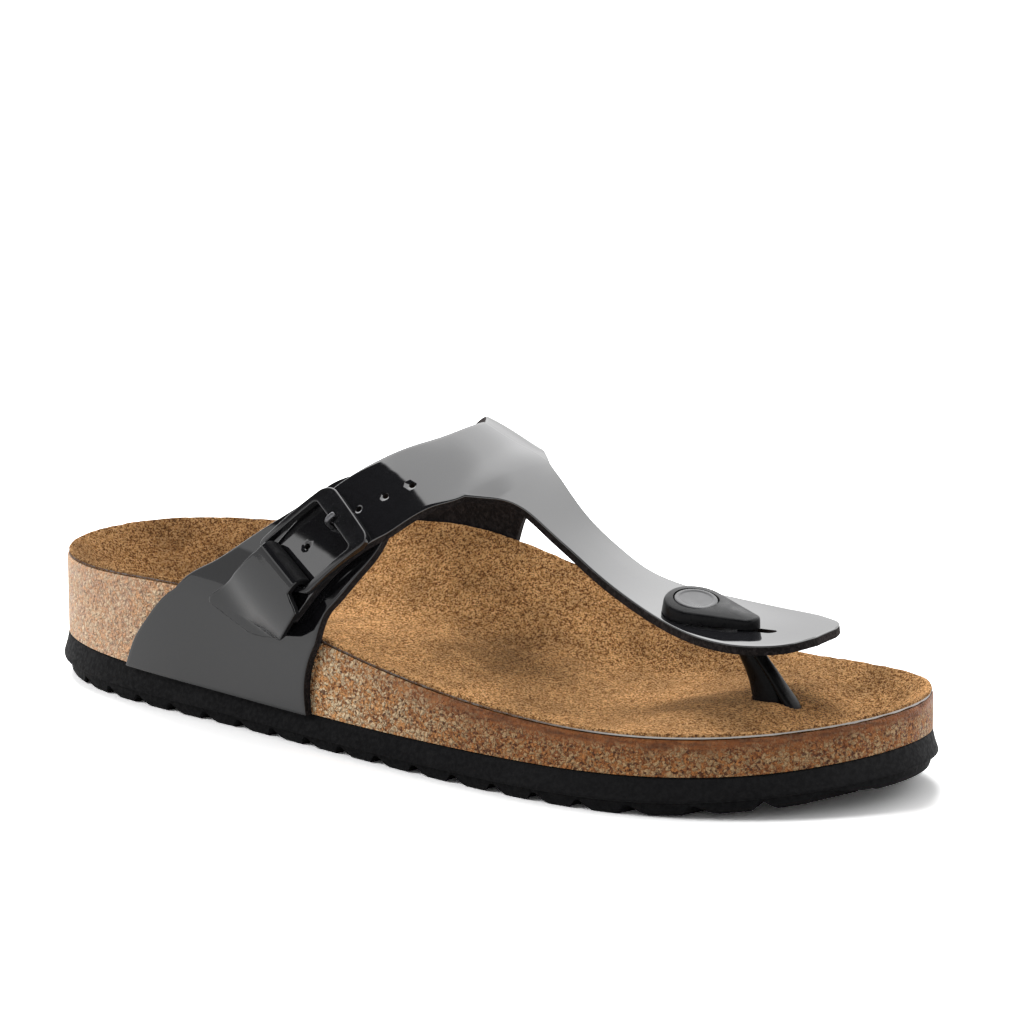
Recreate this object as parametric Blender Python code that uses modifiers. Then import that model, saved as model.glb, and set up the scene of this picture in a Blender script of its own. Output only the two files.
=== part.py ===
"""Toe post sandal for the right foot: a patent T-strap with a side buckle over a moulded cork footbed.

The tables are in millimetres in the maker's frame: along runs from the back of the heel to the toe, across
runs from the outer side of the foot (minus) to the inner side (plus), height runs up from the floor.
Girth is a place round the foot at one station: 0 on the crest, -1 and 1 on the outer and inner rim of the
footbed, -2 and 2 where the footbed's wall meets the outsole.
"""
import math
from collections import Counter

import bmesh
import bpy
import numpy as np
from mathutils import Vector

COLLECTION = "toe_post_sandal"
CUTTERS = "toe_post_sandal_cutters"
MM = 0.001
GAP = 0.3
SHARP_DEGREES = 35.0

# Footbed and outsole
OUTLINE_POINTS = 76
OUTLINE_EVENNESS = 0.75
FOOTBED_LENGTH = 263.0
OUTLINE_ROWS = (
    # place, along, across, rim height, outsole height, width of the bank inside the rim
    ("heel back", 0.0, 0.0, 33.0, 11.4, 22.0),
    ("heel back, outer", 8.7, -20.0, 33.0, 11.4, 22.0),
    ("heel, outer", 34.0, -33.2, 33.8, 10.9, 21.0),
    ("waist, outer", 79.0, -38.0, 34.6, 9.6, 20.0),
    ("cuboid, outer", 124.0, -42.2, 27.6, 9.0, 18.0),
    ("ball, outer", 168.0, -45.8, 22.0, 9.5, 16.0),
    ("small toes", 211.0, -42.5, 19.8, 10.0, 14.0),
    ("second toe", 245.0, -23.3, 21.0, 11.5, 13.0),
    ("toe tip", FOOTBED_LENGTH, 10.0, 23.6, 14.6, 14.0),
    ("big toe, tip", 253.7, 34.6, 23.4, 13.8, 14.0),
    ("big toe, inner", 223.0, 45.3, 21.7, 11.2, 14.0),
    ("ball, inner", 190.5, 47.6, 21.4, 9.7, 16.0),
    ("arch, front", 145.7, 41.3, 33.2, 9.8, 26.0),
    ("arch", 101.0, 35.1, 42.4, 10.2, 32.0),
    ("arch, back", 61.0, 33.7, 37.5, 10.7, 27.0),
    ("heel, inner", 30.3, 31.8, 34.8, 10.9, 22.0),
    ("heel back, inner", 8.8, 18.7, 34.2, 11.2, 22.0),
)
BED_ROWS = (
    # along, height of the cork on the foot's mid-line
    (0.0, 18.5),
    (35.0, 18.0),
    (72.0, 20.0),
    (105.0, 22.0),
    (140.0, 18.6),
    (172.0, 14.2),
    (196.0, 15.2),
    (222.0, 19.3),
    (239.0, 16.6),
    (250.0, 16.0),
    (263.0, 17.0),
)
BED_RINGS = (0.0, 0.05, 0.13, 0.24, 0.38, 0.56, 0.78)
SPINE_HEEL, SPINE_TOE = 32.0, 230.0
BANK_FULLNESS = 0.6
RIM_EDGE = 0.6
INSOLE_THICK = 1.2
INSOLE_INSET = 0.4
SOLE_SIDE_ROWS = (
    # part of the side's height, how far the side stands out
    (0.0, -1.5),
    (0.10, -0.6),
    (0.36, -0.2),
    (0.40, 1.25),
    (0.46, 1.4),
    (0.72, 0.6),
    (1.0, 0.0),
)
TOE_SPRING_START, TOE_SPRING = 206.0, 5.2
HEEL_ROLL_START, HEEL_ROLL = 14.0, 1.8
GROOVE_FIRST, GROOVE_PITCH, GROOVE_COUNT = 9.0, 13.0, 20
GROOVE_SECTION = (
    # along from the groove's middle, height over the sole's underside
    (-4.3, -2.2),
    (7.4, -2.2),
    (0.6, 2.5),
    (-0.7, 2.5),
)
GROOVE_WAVE, GROOVE_WAVE_LENGTH = 2.2, 28.0
GROOVE_REACH, GROOVE_STEPS = 56.0, 8

# Form of the foot that the straps follow
LAST_ROWS = (
    # along, crest across, crest height, fullness of the section
    (30.0, 3.0, 84.0, 1.7),
    (70.0, 4.0, 84.0, 1.7),
    (105.0, 5.5, 83.0, 1.7),
    (131.0, 7.0, 78.2, 1.7),
    (142.0, 7.6, 73.4, 1.7),
    (152.0, 8.0, 68.9, 1.7),
    (157.5, 7.8, 63.0, 1.7),
    (163.0, 7.5, 56.0, 1.75),
    (174.0, 7.5, 46.8, 1.9),
    (188.0, 10.0, 40.3, 2.3),
    (203.0, 12.5, 37.0, 2.9),
    (216.0, 13.0, 36.2, 3.1),
    (229.0, 13.0, 36.8, 3.1),
    (242.0, 13.0, 38.4, 3.1),
)

FOOT_MIDDLE = (130.0, 5.0, 30.0)

# Straps
STRAP_THICK = 2.4
ARM_LIFT = STRAP_THICK + GAP
STRAP_STEPS = 3
ARM_ROWS = (
    # place, back along, back girth, front along, front girth, lift
    ("free end", 96.5, -0.846, 112.0, -0.936, ARM_LIFT),
    ("under the tab", 99.0, -0.79, 114.8, -0.88, ARM_LIFT),
    ("buckle, back", 105.0, -0.66, 121.5, -0.75, ARM_LIFT),
    ("buckle, front", 114.0, -0.50, 130.4, -0.615, ARM_LIFT),
    ("clear of the buckle", 120.6, -0.388, 134.6, -0.548, 2.3),
    ("shoulder", 125.3, -0.29, 139.8, -0.432, 1.2),
    ("bend", 128.7, -0.205, 145.3, -0.343, 0.4),
    ("bend, front", 130.7, -0.11, 149.6, -0.17, 0.3),
    ("ridge", 131.6, -0.01, 151.8, 0.02, 0.3),
)
ARM_ROOT_ROW = 6
ARM_ACROSS = 6
LEG_ROWS = (
    # place, back along, back girth, front along, front girth, lift
    ("under the ridge", 130.8, 0.05, 150.6, 0.07, -0.8),
    ("inner shoulder", 124.5, 0.23, 142.0, 0.25, 0.0),
    ("inner side", 109.0, 0.50, 133.5, 0.52, 0.0),
    ("above the rim", 88.5, 0.76, 124.0, 0.78, 0.0),
    ("rim", 72.0, 1.0, 118.5, 1.0, 0.0),
    ("wall", 63.0, 1.45, 115.0, 1.45, 0.0),
    ("foot of the wall", 59.0, 2.0, 113.0, 2.0, 0.0),
)
TOE_ARM_ROWS = (
    # place, outer along, outer across, inner along, inner across
    ("root", 150.4, -13.0, 153.2, 8.5),
    ("root, front", 155.2, -8.4, 156.6, 9.0),
    ("fall", 160.3, -5.2, 160.6, 10.3),
    ("narrow, back", 166.5, -2.4, 166.5, 13.2),
    ("narrow", 172.5, -1.6, 172.0, 14.8),
    ("narrow, front", 179.5, -1.6, 178.0, 15.8),
    ("flare", 187.5, -2.3, 184.0, 18.4),
    ("wide, back", 196.0, -4.0, 190.5, 22.4),
    ("wide", 205.5, -6.5, 199.5, 27.6),
    ("lip", 215.0, -8.7, 210.5, 30.4),
    ("lip, front", 225.0, -9.6, 220.5, 30.2),
    ("lip, corner", 233.5, -8.3, 228.5, 26.2),
    ("tip, corner", 239.0, -4.8, 235.8, 20.4),
    ("tip", 241.6, 2.6, 240.2, 12.6),
)
ROOT_BLEND = 8
SIDE_ROWS = (
    # place, back along, back girth, front along, front girth
    ("foot of the wall", 46.5, -2.0, 114.4, -2.0),
    ("lower wall", 50.0, -1.67, 113.9, -1.70),
    ("wall", 54.8, -1.41, 114.9, -1.38),
    ("rim", 61.0, -1.14, 117.4, -1.07),
    ("above the rim", 69.0, -0.945, 120.0, -0.89),
    ("under the tab", 79.0, -0.85, 123.2, -0.82),
    ("under the buckle", 89.5, -0.741, 127.0, -0.74),
    ("buckle, front", 99.5, -0.630, 130.3, -0.66),
    ("end, back", 105.5, -0.556, 131.6, -0.60),
    ("end", 109.5, -0.497, 131.0, -0.545),
    ("end, rounded", 113.5, -0.458, 127.0, -0.488),
)
SIDE_ACROSS = 6
HOLE_ROWS = (
    # place, along, girth
    ("in the window", 112.0, -0.700),
    ("on the pin", 117.9, -0.622),
    ("third", 122.9, -0.548),
    ("fourth", 127.9, -0.480),
    ("fifth", 132.1, -0.410),
)
HOLE_WIDTH, HOLE_SIDES = 3.0, 12
HOLE_PIN = 1

# Buckle and its tab
BUCKLE_CORNERS = ((97.3, -0.753), (113.3, -0.516), (117.0, -0.841), (131.8, -0.614))
BUCKLE_LENGTH, BUCKLE_WIDTH = 25.4, 22.2
BUCKLE_LIFT = ARM_LIFT + STRAP_THICK + 0.4
BUCKLE_THICK = 2.4
BAR_FRONT, BAR_BACK, BAR_SIDE = 5.6, 2.2, 1.9
BUCKLE_ROUND, WINDOW_ROUND, BUCKLE_EDGE = 3.6, 1.2, 0.5
CORNER_STEPS, BAR_STEPS = 4, 4
PIN_RADIUS, PIN_ROUNDNESS = 0.75, 2
PIN_BAR_ROWS = (
    # distance past the broad bar's edge, depth below the pin's top
    (1.7, 0.0),
    (0.5, 0.0),
)
PIN_HOLE_ROWS = (
    # distance past the hole's middle, depth below the pin's top
    (0.5, 0.5),
    (0.0, 2.0),
    (0.0, 4.6),
)
TAB_CORNERS = ((78.3, -0.996), (99.75, -0.762), (97.9, -1.216), (118.45, -0.865))
TAB_LENGTH, TAB_THICK, TAB_ROUND, TAB_TAIL = 23.3, 1.5, 4.5, 0.985
FOLD_START, FOLD_END, FOLD_WIDTH, FOLD_SHIFT = 21.4, 22.6, 16.4, -2.6
TAB_ROWS = (
    # distance from the tail, height of the underside over the foot
    (0.0, 2.7),
    (4.0, 2.72),
    (8.0, 2.95),
    (11.0, 3.85),
    (14.5, 5.5),
    (18.0, 6.85),
    (22.5, 8.2),
    (24.4, 8.65),
    (25.7, 8.75),
    (26.5, 8.25),
    (26.8, 7.25),
    (26.8, 5.8),
)
TAB_ACROSS, TAB_STEPS = 6, 22

# Toe post with its folded cap and button
POST_ALONG, CAP_ACROSS = 222.0, 5.2
SLOT_LENGTH, SLOT_WIDTH, SLOT_CENTRE = 13.0, 3.6, 220.4
SLOT_LOW, SLOT_HIGH = 30.0, 46.0
POCKET_CLEAR, POCKET_HIGH = 0.6, 28.0
POST_ROWS = (
    # height above the footbed's cork, rear leg along and long, front leg along and long, across, thick
    (-4.0, 224.6, 9.0, 231.8, 4.2, 5.4, 5.0),
    (1.6, 224.6, 9.0, 231.8, 4.2, 5.4, 5.0),
    (5.2, 223.6, 8.6, 229.0, 3.6, 5.4, 4.6),
    (9.4, 221.6, 8.0, 225.4, 3.3, 5.3, 4.2),
    (13.0, 219.4, 7.6, 222.2, 3.2, 5.2, 3.8),
    (15.8, 218.2, 7.4, 220.2, 3.2, 5.2, 3.4),
)
POST_AROUND, OVAL_POINTS = 16, 16
NECK_LENGTH, NECK_WIDTH, NECK_ALONG = 5.6, 2.8, 218.2
NECK_LOW, NECK_HIGH = 33.0, 40.4
CAP_REAR, CAP_REAR_RADIUS = 201.4, 8.4
CAP_FRONT, CAP_FRONT_RADIUS = 218.5, 3.1
CAP_THICK_ROWS = (
    # along, thickness
    (193.0, 4.4),
    (209.8, 3.3),
    (218.5, 2.8),
)
CAP_ROLL = 0.11
CAP_ROWS = (
    # how far the ring is set in, part of the cap's thickness
    (0.0, 0.0),
    (0.0, 0.72),
    (0.32, 0.92),
    (0.8, 1.0),
)
CAP_AROUND = 28
BUTTON_RADIUS, BUTTON_THICK, BUTTON_SUNK = 5.6, 1.3, 1.0
BUTTON_SIDES = 36

MATERIALS = {
    # node: colour, roughness, metallic
    "outsole": ((0.012, 0.012, 0.013), 0.75, 0.0),
    "footbed": ((0.32, 0.20, 0.12), 0.45, 0.0),
    "insole": ((0.42, 0.26, 0.12), 0.95, 0.0),
    "instep_strap": ((0.006, 0.006, 0.007), 0.06, 0.0),
    "side_strap": ((0.006, 0.006, 0.007), 0.06, 0.0),
    "buckle_strap": ((0.006, 0.006, 0.007), 0.08, 0.0),
    "buckle_frame": ((0.015, 0.015, 0.016), 0.25, 0.6),
    "buckle_pin": ((0.30, 0.30, 0.31), 0.30, 0.9),
    "toe_post": ((0.012, 0.012, 0.013), 0.35, 0.0),
    "post_button": ((0.10, 0.10, 0.10), 0.40, 0.0),
}


def clear_scene():
    """Remove every object of the scene."""
    for thing in list(bpy.data.objects):
        bpy.data.objects.remove(thing, do_unlink=True)


def new_collection(name):
    """A collection of the given name under the scene."""
    collection = bpy.data.collections.new(name)
    bpy.context.scene.collection.children.link(collection)
    return collection


def smooth_through(knots, values, at, closed=False):
    """Rows on the curve of continuous curvature through the given rows."""
    knots = np.asarray(knots, float)
    values = np.asarray(values, float)
    at = np.asarray(at, float)
    step = np.diff(knots)
    slope = np.diff(values, axis=0) / step[:, None]
    count = len(step)
    size = count if closed else count + 1
    matrix = np.eye(size)
    right = np.zeros((size, values.shape[1]))
    for i in range(0 if closed else 1, count):
        matrix[i] = 0.0
        matrix[i, i - 1] += step[i - 1]
        matrix[i, i] += 2.0 * (step[i - 1] + step[i])
        matrix[i, (i + 1) % size] += step[i]
        right[i] = 6.0 * (slope[i] - slope[i - 1])
    bend = np.linalg.solve(matrix, right)
    if closed:
        bend = np.vstack([bend, bend[:1]])
    i = np.clip(np.searchsorted(knots, at, "right") - 1, 0, count - 1)
    a = ((knots[i + 1] - at) / step[i])[:, None]
    b = 1.0 - a
    square = (step[i] ** 2)[:, None] / 6.0
    return a * values[i] + b * values[i + 1] + ((a**3 - a) * bend[i] + (b**3 - b) * bend[i + 1]) * square


def rows_between(rows, steps):
    """The rows of a table with their names left off, and smooth rows put between them."""
    values = np.array([row[1:] for row in rows])
    at = np.linspace(0.0, len(rows) - 1.0, (len(rows) - 1) * steps + 1)
    return smooth_through(range(len(rows)), values, at)


def outline_loop(count):
    """Outline rows round the footbed: heel back, outer side, toe tip, inner side, half on each side."""
    rows = np.array([row[1:] for row in OUTLINE_ROWS])
    tip = [row[0] for row in OUTLINE_ROWS].index("toe tip")
    loop = np.vstack([rows, rows[:1]])
    chord = np.linalg.norm(np.diff(loop[:, :2], axis=0), axis=1) ** OUTLINE_EVENNESS
    knots = np.concatenate([[0.0], np.cumsum(chord)])
    half = count // 2
    outer = np.linspace(0.0, knots[tip], half, endpoint=False)
    inner = np.linspace(knots[tip], knots[-1], half, endpoint=False)
    return smooth_through(knots, loop, np.concatenate([outer, inner]), closed=True)


LOOP = outline_loop(OUTLINE_POINTS)
FINE_POINTS = 1200
FINE_LOOP = outline_loop(FINE_POINTS)
OUTER_SIDE = FINE_LOOP[: FINE_POINTS // 2 + 1]
INNER_SIDE = np.vstack([FINE_LOOP[:1], FINE_LOOP[: FINE_POINTS // 2 - 1 : -1]])


def loop_normals(loop):
    """Level unit vectors that point out of a closed outline."""
    run = np.roll(loop[:, :2], -1, axis=0) - np.roll(loop[:, :2], 1, axis=0)
    normal = np.stack([-run[:, 1], run[:, 0]], axis=1)
    return -normal / np.linalg.norm(normal, axis=1)[:, None] * np.sign(loop_area(loop))


def loop_area(loop):
    """Signed area of a closed outline, plus for anticlockwise."""
    x, y = loop[:, 0], loop[:, 1]
    return 0.5 * np.sum(x * np.roll(y, -1) - y * np.roll(x, -1))


def outset_loop(distance):
    """The footbed's outline moved out by a distance."""
    return LOOP[:, :2] + loop_normals(LOOP) * distance


def floor_height(along):
    """Height of the outsole's underside, with toe spring and the roll of the heel."""
    toe = np.clip((along - TOE_SPRING_START) / (FOOTBED_LENGTH - TOE_SPRING_START), 0.0, None)
    heel = np.clip((HEEL_ROLL_START - along) / HEEL_ROLL_START, 0.0, None)
    return TOE_SPRING * toe**2 + HEEL_ROLL * heel**2


def bed_ring(part):
    """One ring of the footbed's top, a part of the way in from the rim to the foot's mid-line."""
    rim = outset_loop(-INSOLE_INSET)
    middle = 0.5 * (rim + np.roll(rim[::-1], 1, axis=0))
    order = np.argsort(middle[:, 0])
    spine_along = np.clip(middle[:, 0], SPINE_HEEL, SPINE_TOE)
    spine = np.stack([spine_along, np.interp(spine_along, middle[order, 0], middle[order, 1])], axis=1)
    ring = rim + (spine - rim) * part
    inward = np.clip(np.linalg.norm(ring - rim, axis=1) / LOOP[:, 4], 0.0, 1.0)
    bed = np.array(BED_ROWS)
    level = smooth_through(bed[:, 0], bed[:, 1:], ring[:, 0])[:, 0]
    bank = (1.0 - inward) ** 2 * (1.0 + BANK_FULLNESS * inward)
    return np.column_stack([ring, level + (LOOP[:, 2] - level) * bank])


def bed_height(along):
    """Height of the cork on the foot's mid-line."""
    bed = np.array(BED_ROWS)
    return float(smooth_through(bed[:, 0], bed[:, 1:], [along])[0, 0])


def last_point(along, girth):
    """Points on the form of the foot."""
    rows = np.array(LAST_ROWS)
    crest = smooth_through(rows[:, 0], rows[:, 1:], along)
    outer = [np.interp(along, OUTER_SIDE[:, 0], OUTER_SIDE[:, k]) for k in (1, 2, 3)]
    inner = [np.interp(along, INNER_SIDE[:, 0], INNER_SIDE[:, k]) for k in (1, 2, 3)]
    side = np.where(girth < 0.0, outer[0] - GAP, inner[0] + GAP)
    rim = np.where(girth < 0.0, outer[1], inner[1])
    foot = np.where(girth < 0.0, outer[2], inner[2]) + GAP
    turn = np.clip(np.abs(girth), 0.0, 1.0) * math.pi / 2.0
    power = 2.0 / crest[:, 2]
    across = crest[:, 0] + (side - crest[:, 0]) * np.sin(turn) ** power
    height = rim + (crest[:, 1] - rim) * np.cos(turn) ** power
    height = height - np.clip(np.abs(girth) - 1.0, 0.0, None) * (rim - foot)
    return np.stack([along, across, height], axis=1)


def last_normal(along, girth):
    """Unit vectors that point out of the form of the foot."""
    near_along, near_girth = 0.2, 0.004
    run = last_point(along + near_along, girth) - last_point(along - near_along, girth)
    turn = last_point(along, girth + near_girth) - last_point(along, girth - near_girth)
    normal = np.cross(run, turn)
    return normal / np.linalg.norm(normal, axis=1)[:, None]


def over_last(along, girth, lift):
    """Points at a height over the form of the foot."""
    along = np.asarray(along, float)
    girth = np.asarray(girth, float)
    lift = np.asarray(lift, float) * np.ones_like(along)
    return last_point(along, girth) + last_normal(along, girth) * lift[:, None]


def over_patch(corners, part_along, part_across, lift):
    """Points over a four-cornered patch of the form: back and front of its outer edge, then of its inner."""
    corner = np.array(corners)
    u = np.asarray(part_along, float)[:, None]
    v = np.asarray(part_across, float)[:, None]
    back = corner[0] * (1.0 - v) + corner[2] * v
    front = corner[1] * (1.0 - v) + corner[3] * v
    place = back * (1.0 - u) + front * u
    return over_last(place[:, 0], place[:, 1], lift)


def plain_material(name):
    """The piece's own material."""
    colour, roughness, metallic = MATERIALS[name]
    material = bpy.data.materials.new(name)
    material.use_nodes = True
    shader = material.node_tree.nodes["Principled BSDF"]
    shader.inputs["Base Color"].default_value = (*colour, 1.0)
    shader.inputs["Roughness"].default_value = roughness
    shader.inputs["Metallic"].default_value = metallic
    return material


def mesh_object(name, points, faces, collection):
    """An object from points in millimetres, with its faces turned out."""
    mesh = bpy.data.meshes.new(name)
    mesh.from_pydata((np.asarray(points) * MM).tolist(), [], faces)
    cage = bmesh.new()
    cage.from_mesh(mesh)
    bmesh.ops.recalc_face_normals(cage, faces=cage.faces)
    cage.to_mesh(mesh)
    cage.free()
    thing = bpy.data.objects.new(name, mesh)
    collection.objects.link(thing)
    if name in MATERIALS:
        mesh.materials.append(plain_material(name))
        mesh.shade_smooth()
        mesh.set_sharp_from_angle(angle=math.radians(SHARP_DEGREES))
    return thing


def ring_faces(ring_count, size):
    """Faces between rings of equal size, with both end rings closed from side to side."""
    faces = []
    for r in range(ring_count - 1):
        for i in range(size):
            j = (i + 1) % size
            faces.append((r * size + i, r * size + j, (r + 1) * size + j, (r + 1) * size + i))
    for start, turned in ((0, True), ((ring_count - 1) * size, False)):
        for i in range(size // 2):
            face = [i, i + 1, size - i - 1, (size - i) % size]
            face = [start + k for k in dict.fromkeys(face)]
            faces.append(tuple(face[::-1] if turned else face))
    return faces


def ring_object(name, rings, collection):
    """A closed loft through rings."""
    return mesh_object(name, np.vstack(rings), ring_faces(len(rings), len(rings[0])), collection)


def sheet_faces(row_count, column_count, start=0):
    """Faces of a sheet of rows and columns."""
    faces = []
    for r in range(row_count - 1):
        for c in range(column_count - 1):
            a = start + r * column_count + c
            faces.append((a, a + 1, a + column_count + 1, a + column_count))
    return faces


def wall_object(name, places, faces, collection):
    """A strap from places on the form of the foot: an underside, a top and the cut edge between them."""
    along, girth, lift = places.T
    count = len(places)
    points = np.vstack([over_last(along, girth, lift), over_last(along, girth, lift + STRAP_THICK)])
    edges = Counter(tuple(sorted(pair)) for face in faces for pair in zip(face, face[1:] + face[:1]))
    solid = [face[::-1] for face in faces]
    solid += [tuple(i + count for i in face) for face in faces]
    solid += [(a, b, b + count, a + count) for (a, b), uses in edges.items() if uses == 1]
    return mesh_object(name, points, solid, collection)


def thicken(thing, thickness):
    """Give a sheet its thickness on the side away from the foot."""
    solid = thing.modifiers.new("thickness", "SOLIDIFY")
    solid.thickness = thickness * MM
    solid.offset = 1.0
    solid.use_even_offset = False
    return solid


def face_out(thing):
    """Turn a sheet's faces away from the middle of the foot."""
    cage = bmesh.new()
    cage.from_mesh(thing.data)
    middle = Vector(FOOT_MIDDLE) * MM
    score = sum(face.normal.dot(face.calc_center_median() - middle) * face.calc_area() for face in cage.faces)
    if score < 0.0:
        bmesh.ops.reverse_faces(cage, faces=cage.faces)
    cage.to_mesh(thing.data)
    cage.free()


def cut(thing, cutter):
    """Cut one object out of another."""
    cutter.hide_render = True
    cutter.display_type = "WIRE"
    boolean = thing.modifiers.new("cut_" + cutter.name, "BOOLEAN")
    boolean.operation = "DIFFERENCE"
    boolean.object = cutter


def join(thing, other):
    """Join another object to one; the other stays only as the shape to join."""
    other.hide_render = True
    other.display_type = "WIRE"
    boolean = thing.modifiers.new("join_" + other.name, "BOOLEAN")
    boolean.operation = "UNION"
    boolean.object = other


def build_outsole(parts, cutters):
    """The outsole with its lip, toe spring and wavy grooves."""
    floor = floor_height(LOOP[:, 0])
    rings = []
    for part, out in SOLE_SIDE_ROWS:
        height = floor + (LOOP[:, 3] - floor) * part
        rings.append(np.column_stack([outset_loop(out), height]))
    sole = ring_object("outsole", rings, parts)
    points, faces = [], []
    across = np.linspace(-GROOVE_REACH, GROOVE_REACH, GROOVE_STEPS + 1)
    wave = GROOVE_WAVE * np.cos(across * 2.0 * math.pi / GROOVE_WAVE_LENGTH)
    for k in range(GROOVE_COUNT):
        along = GROOVE_FIRST + GROOVE_PITCH * k
        level = float(floor_height(np.array(along)))
        start = len(points)
        for y, bend in zip(across, wave):
            points += [(along + bend + dx, y, level + dz) for dx, dz in GROOVE_SECTION]
        for s in range(GROOVE_STEPS):
            a = start + 4 * s
            faces += [(a + i, a + (i + 1) % 4, a + 4 + (i + 1) % 4, a + 4 + i) for i in range(4)]
        last = start + 4 * GROOVE_STEPS
        faces += [(start + 3, start + 2, start + 1, start), (last, last + 1, last + 2, last + 3)]
    cut(sole, mesh_object("grooves", points, faces, cutters))
    return sole


def build_footbed(parts):
    """The cork footbed with its dished top."""
    foot = np.column_stack([outset_loop(0.0), LOOP[:, 3] + GAP])
    shoulder = np.column_stack([outset_loop(0.0), LOOP[:, 2] - RIM_EDGE])
    rings = [foot, shoulder] + [bed_ring(part) for part in BED_RINGS]
    return ring_object("footbed", rings, parts)


def build_insole(parts):
    """The suede layer that covers the footbed's top."""
    under = [bed_ring(part) + np.array([0.0, 0.0, GAP]) for part in BED_RINGS]
    over = [ring + np.array([0.0, 0.0, INSOLE_THICK]) for ring in under]
    return ring_object("insole", under[::-1] + over, parts)


def band_rows(table):
    """Fine rows of a strap's table, as places across the strap from its back edge to its front edge."""
    rows = rows_between(table, STRAP_STEPS)
    part = np.linspace(0.0, 1.0, ARM_ACROSS + 1)[None, :]
    along = rows[:, 0:1] * (1.0 - part) + rows[:, 2:3] * part
    girth = rows[:, 1:2] * (1.0 - part) + rows[:, 3:4] * part
    lift = rows[:, 4:5] * np.ones_like(part)
    return np.stack([along, girth, lift], axis=2)


def build_instep_strap(parts, cutters):
    """The T-strap: outer arm, inner leg under its ridge, and toe arm, in one wall."""
    arm, leg = band_rows(ARM_ROWS), band_rows(LEG_ROWS)
    band = np.concatenate([arm, leg])
    columns = ARM_ACROSS + 1
    faces = sheet_faces(len(band), columns)
    root_first, root_last = ARM_ROOT_ROW * STRAP_STEPS, len(arm) - 1
    root = arm[root_first:root_last + 1, -1]
    toe = rows_between(TOE_ARM_ROWS, STRAP_STEPS)
    part = np.linspace(0.0, 1.0, len(root))[:, None]
    start = last_point(root[:, 0], root[:, 1])[:, :2]
    bow = start - start[:1] * (1.0 - part) - start[-1:] * part
    places = [row for line in band for row in line]
    earlier = [r * columns + columns - 1 for r in range(root_first, root_last + 1)]
    for k, row in enumerate(toe):
        stay = max(0.0, 1.0 - (k + 1) / ROOT_BLEND) ** 2
        flat = row[None, 0:2] * (1.0 - part) + row[None, 2:4] * part + bow * stay
        line = np.column_stack([flat[:, 0], girth_at(flat[:, 0], flat[:, 1]), root[:, 2] * stay])
        later = list(range(len(places), len(places) + len(line)))
        places += list(line)
        faces += [(earlier[i], earlier[i + 1], later[i + 1], later[i]) for i in range(len(line) - 1)]
        earlier = later
    strap = wall_object("instep_strap", np.array(places), faces, parts)
    for k, (_, along, girth) in enumerate(HOLE_ROWS):
        cut(strap, hole_cutter("pin_hole_%d" % k, along, girth, cutters))
    cut(strap, slot_cutter(cutters))
    return strap


def hole_cutter(name, along, girth, cutters):
    """A round cutter through the arm of the strap."""
    place, girths = np.array([along]), np.array([girth])
    normal = last_normal(place, girths)[0]
    centre = over_last(place, girths, ARM_LIFT + STRAP_THICK / 2.0)[0]
    bpy.ops.mesh.primitive_cylinder_add(vertices=HOLE_SIDES, radius=HOLE_WIDTH / 2.0 * MM,
                                        depth=4.0 * STRAP_THICK * MM, location=(centre * MM).tolist())
    cutter = bpy.context.object
    cutter.name = name
    cutter.rotation_mode = "QUATERNION"
    cutter.rotation_quaternion = cutter_turn(normal)
    move_to(cutter, cutters)
    return cutter


def cutter_turn(normal):
    """The turn that lays an upright cutter along a direction."""
    return Vector((0.0, 0.0, 1.0)).rotation_difference(Vector(normal.tolist()))


def move_to(thing, collection):
    """Keep an object in one collection only."""
    for old in list(thing.users_collection):
        old.objects.unlink(thing)
    collection.objects.link(thing)


def oval(length, width, count):
    """Points round an oval with half-round ends, long way along."""
    half = count // 2
    turn = np.linspace(-math.pi / 2.0, math.pi / 2.0, half)
    reach = (length - width) / 2.0
    front = np.stack([reach + np.cos(turn) * width / 2.0, np.sin(turn) * width / 2.0], axis=1)
    return np.vstack([front, -front])


def upright_prism(name, outline, low, high, collection):
    """A straight-sided body on a level outline."""
    rings = [np.column_stack([outline, np.full(len(outline), z)]) for z in (low, high)]
    size = len(outline)
    faces = [(i, (i + 1) % size, size + (i + 1) % size, size + i) for i in range(size)]
    faces += [tuple(range(size))[::-1], tuple(range(size, 2 * size))]
    return mesh_object(name, np.vstack(rings), faces, collection)


def slot_cutter(cutters):
    """The slot in the toe arm for the post's neck."""
    outline = oval(SLOT_LENGTH, SLOT_WIDTH, OVAL_POINTS) + np.array([SLOT_CENTRE, CAP_ACROSS])
    return upright_prism("neck_slot", outline, SLOT_LOW, SLOT_HIGH, cutters)


def build_side_strap(parts):
    """The quarter that rises from the footbed's outer wall to the buckle."""
    rows = rows_between(SIDE_ROWS, STRAP_STEPS)
    part = np.linspace(0.0, 1.0, SIDE_ACROSS + 1)[None, :]
    along = rows[:, 0:1] * (1.0 - part) + rows[:, 2:3] * part
    girth = rows[:, 1:2] * (1.0 - part) + rows[:, 3:4] * part
    points = over_last(along.ravel(), girth.ravel(), 0.0)
    strap = mesh_object("side_strap", points, sheet_faces(len(rows), SIDE_ACROSS + 1), parts)
    face_out(strap)
    thicken(strap, STRAP_THICK)
    return strap


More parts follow.
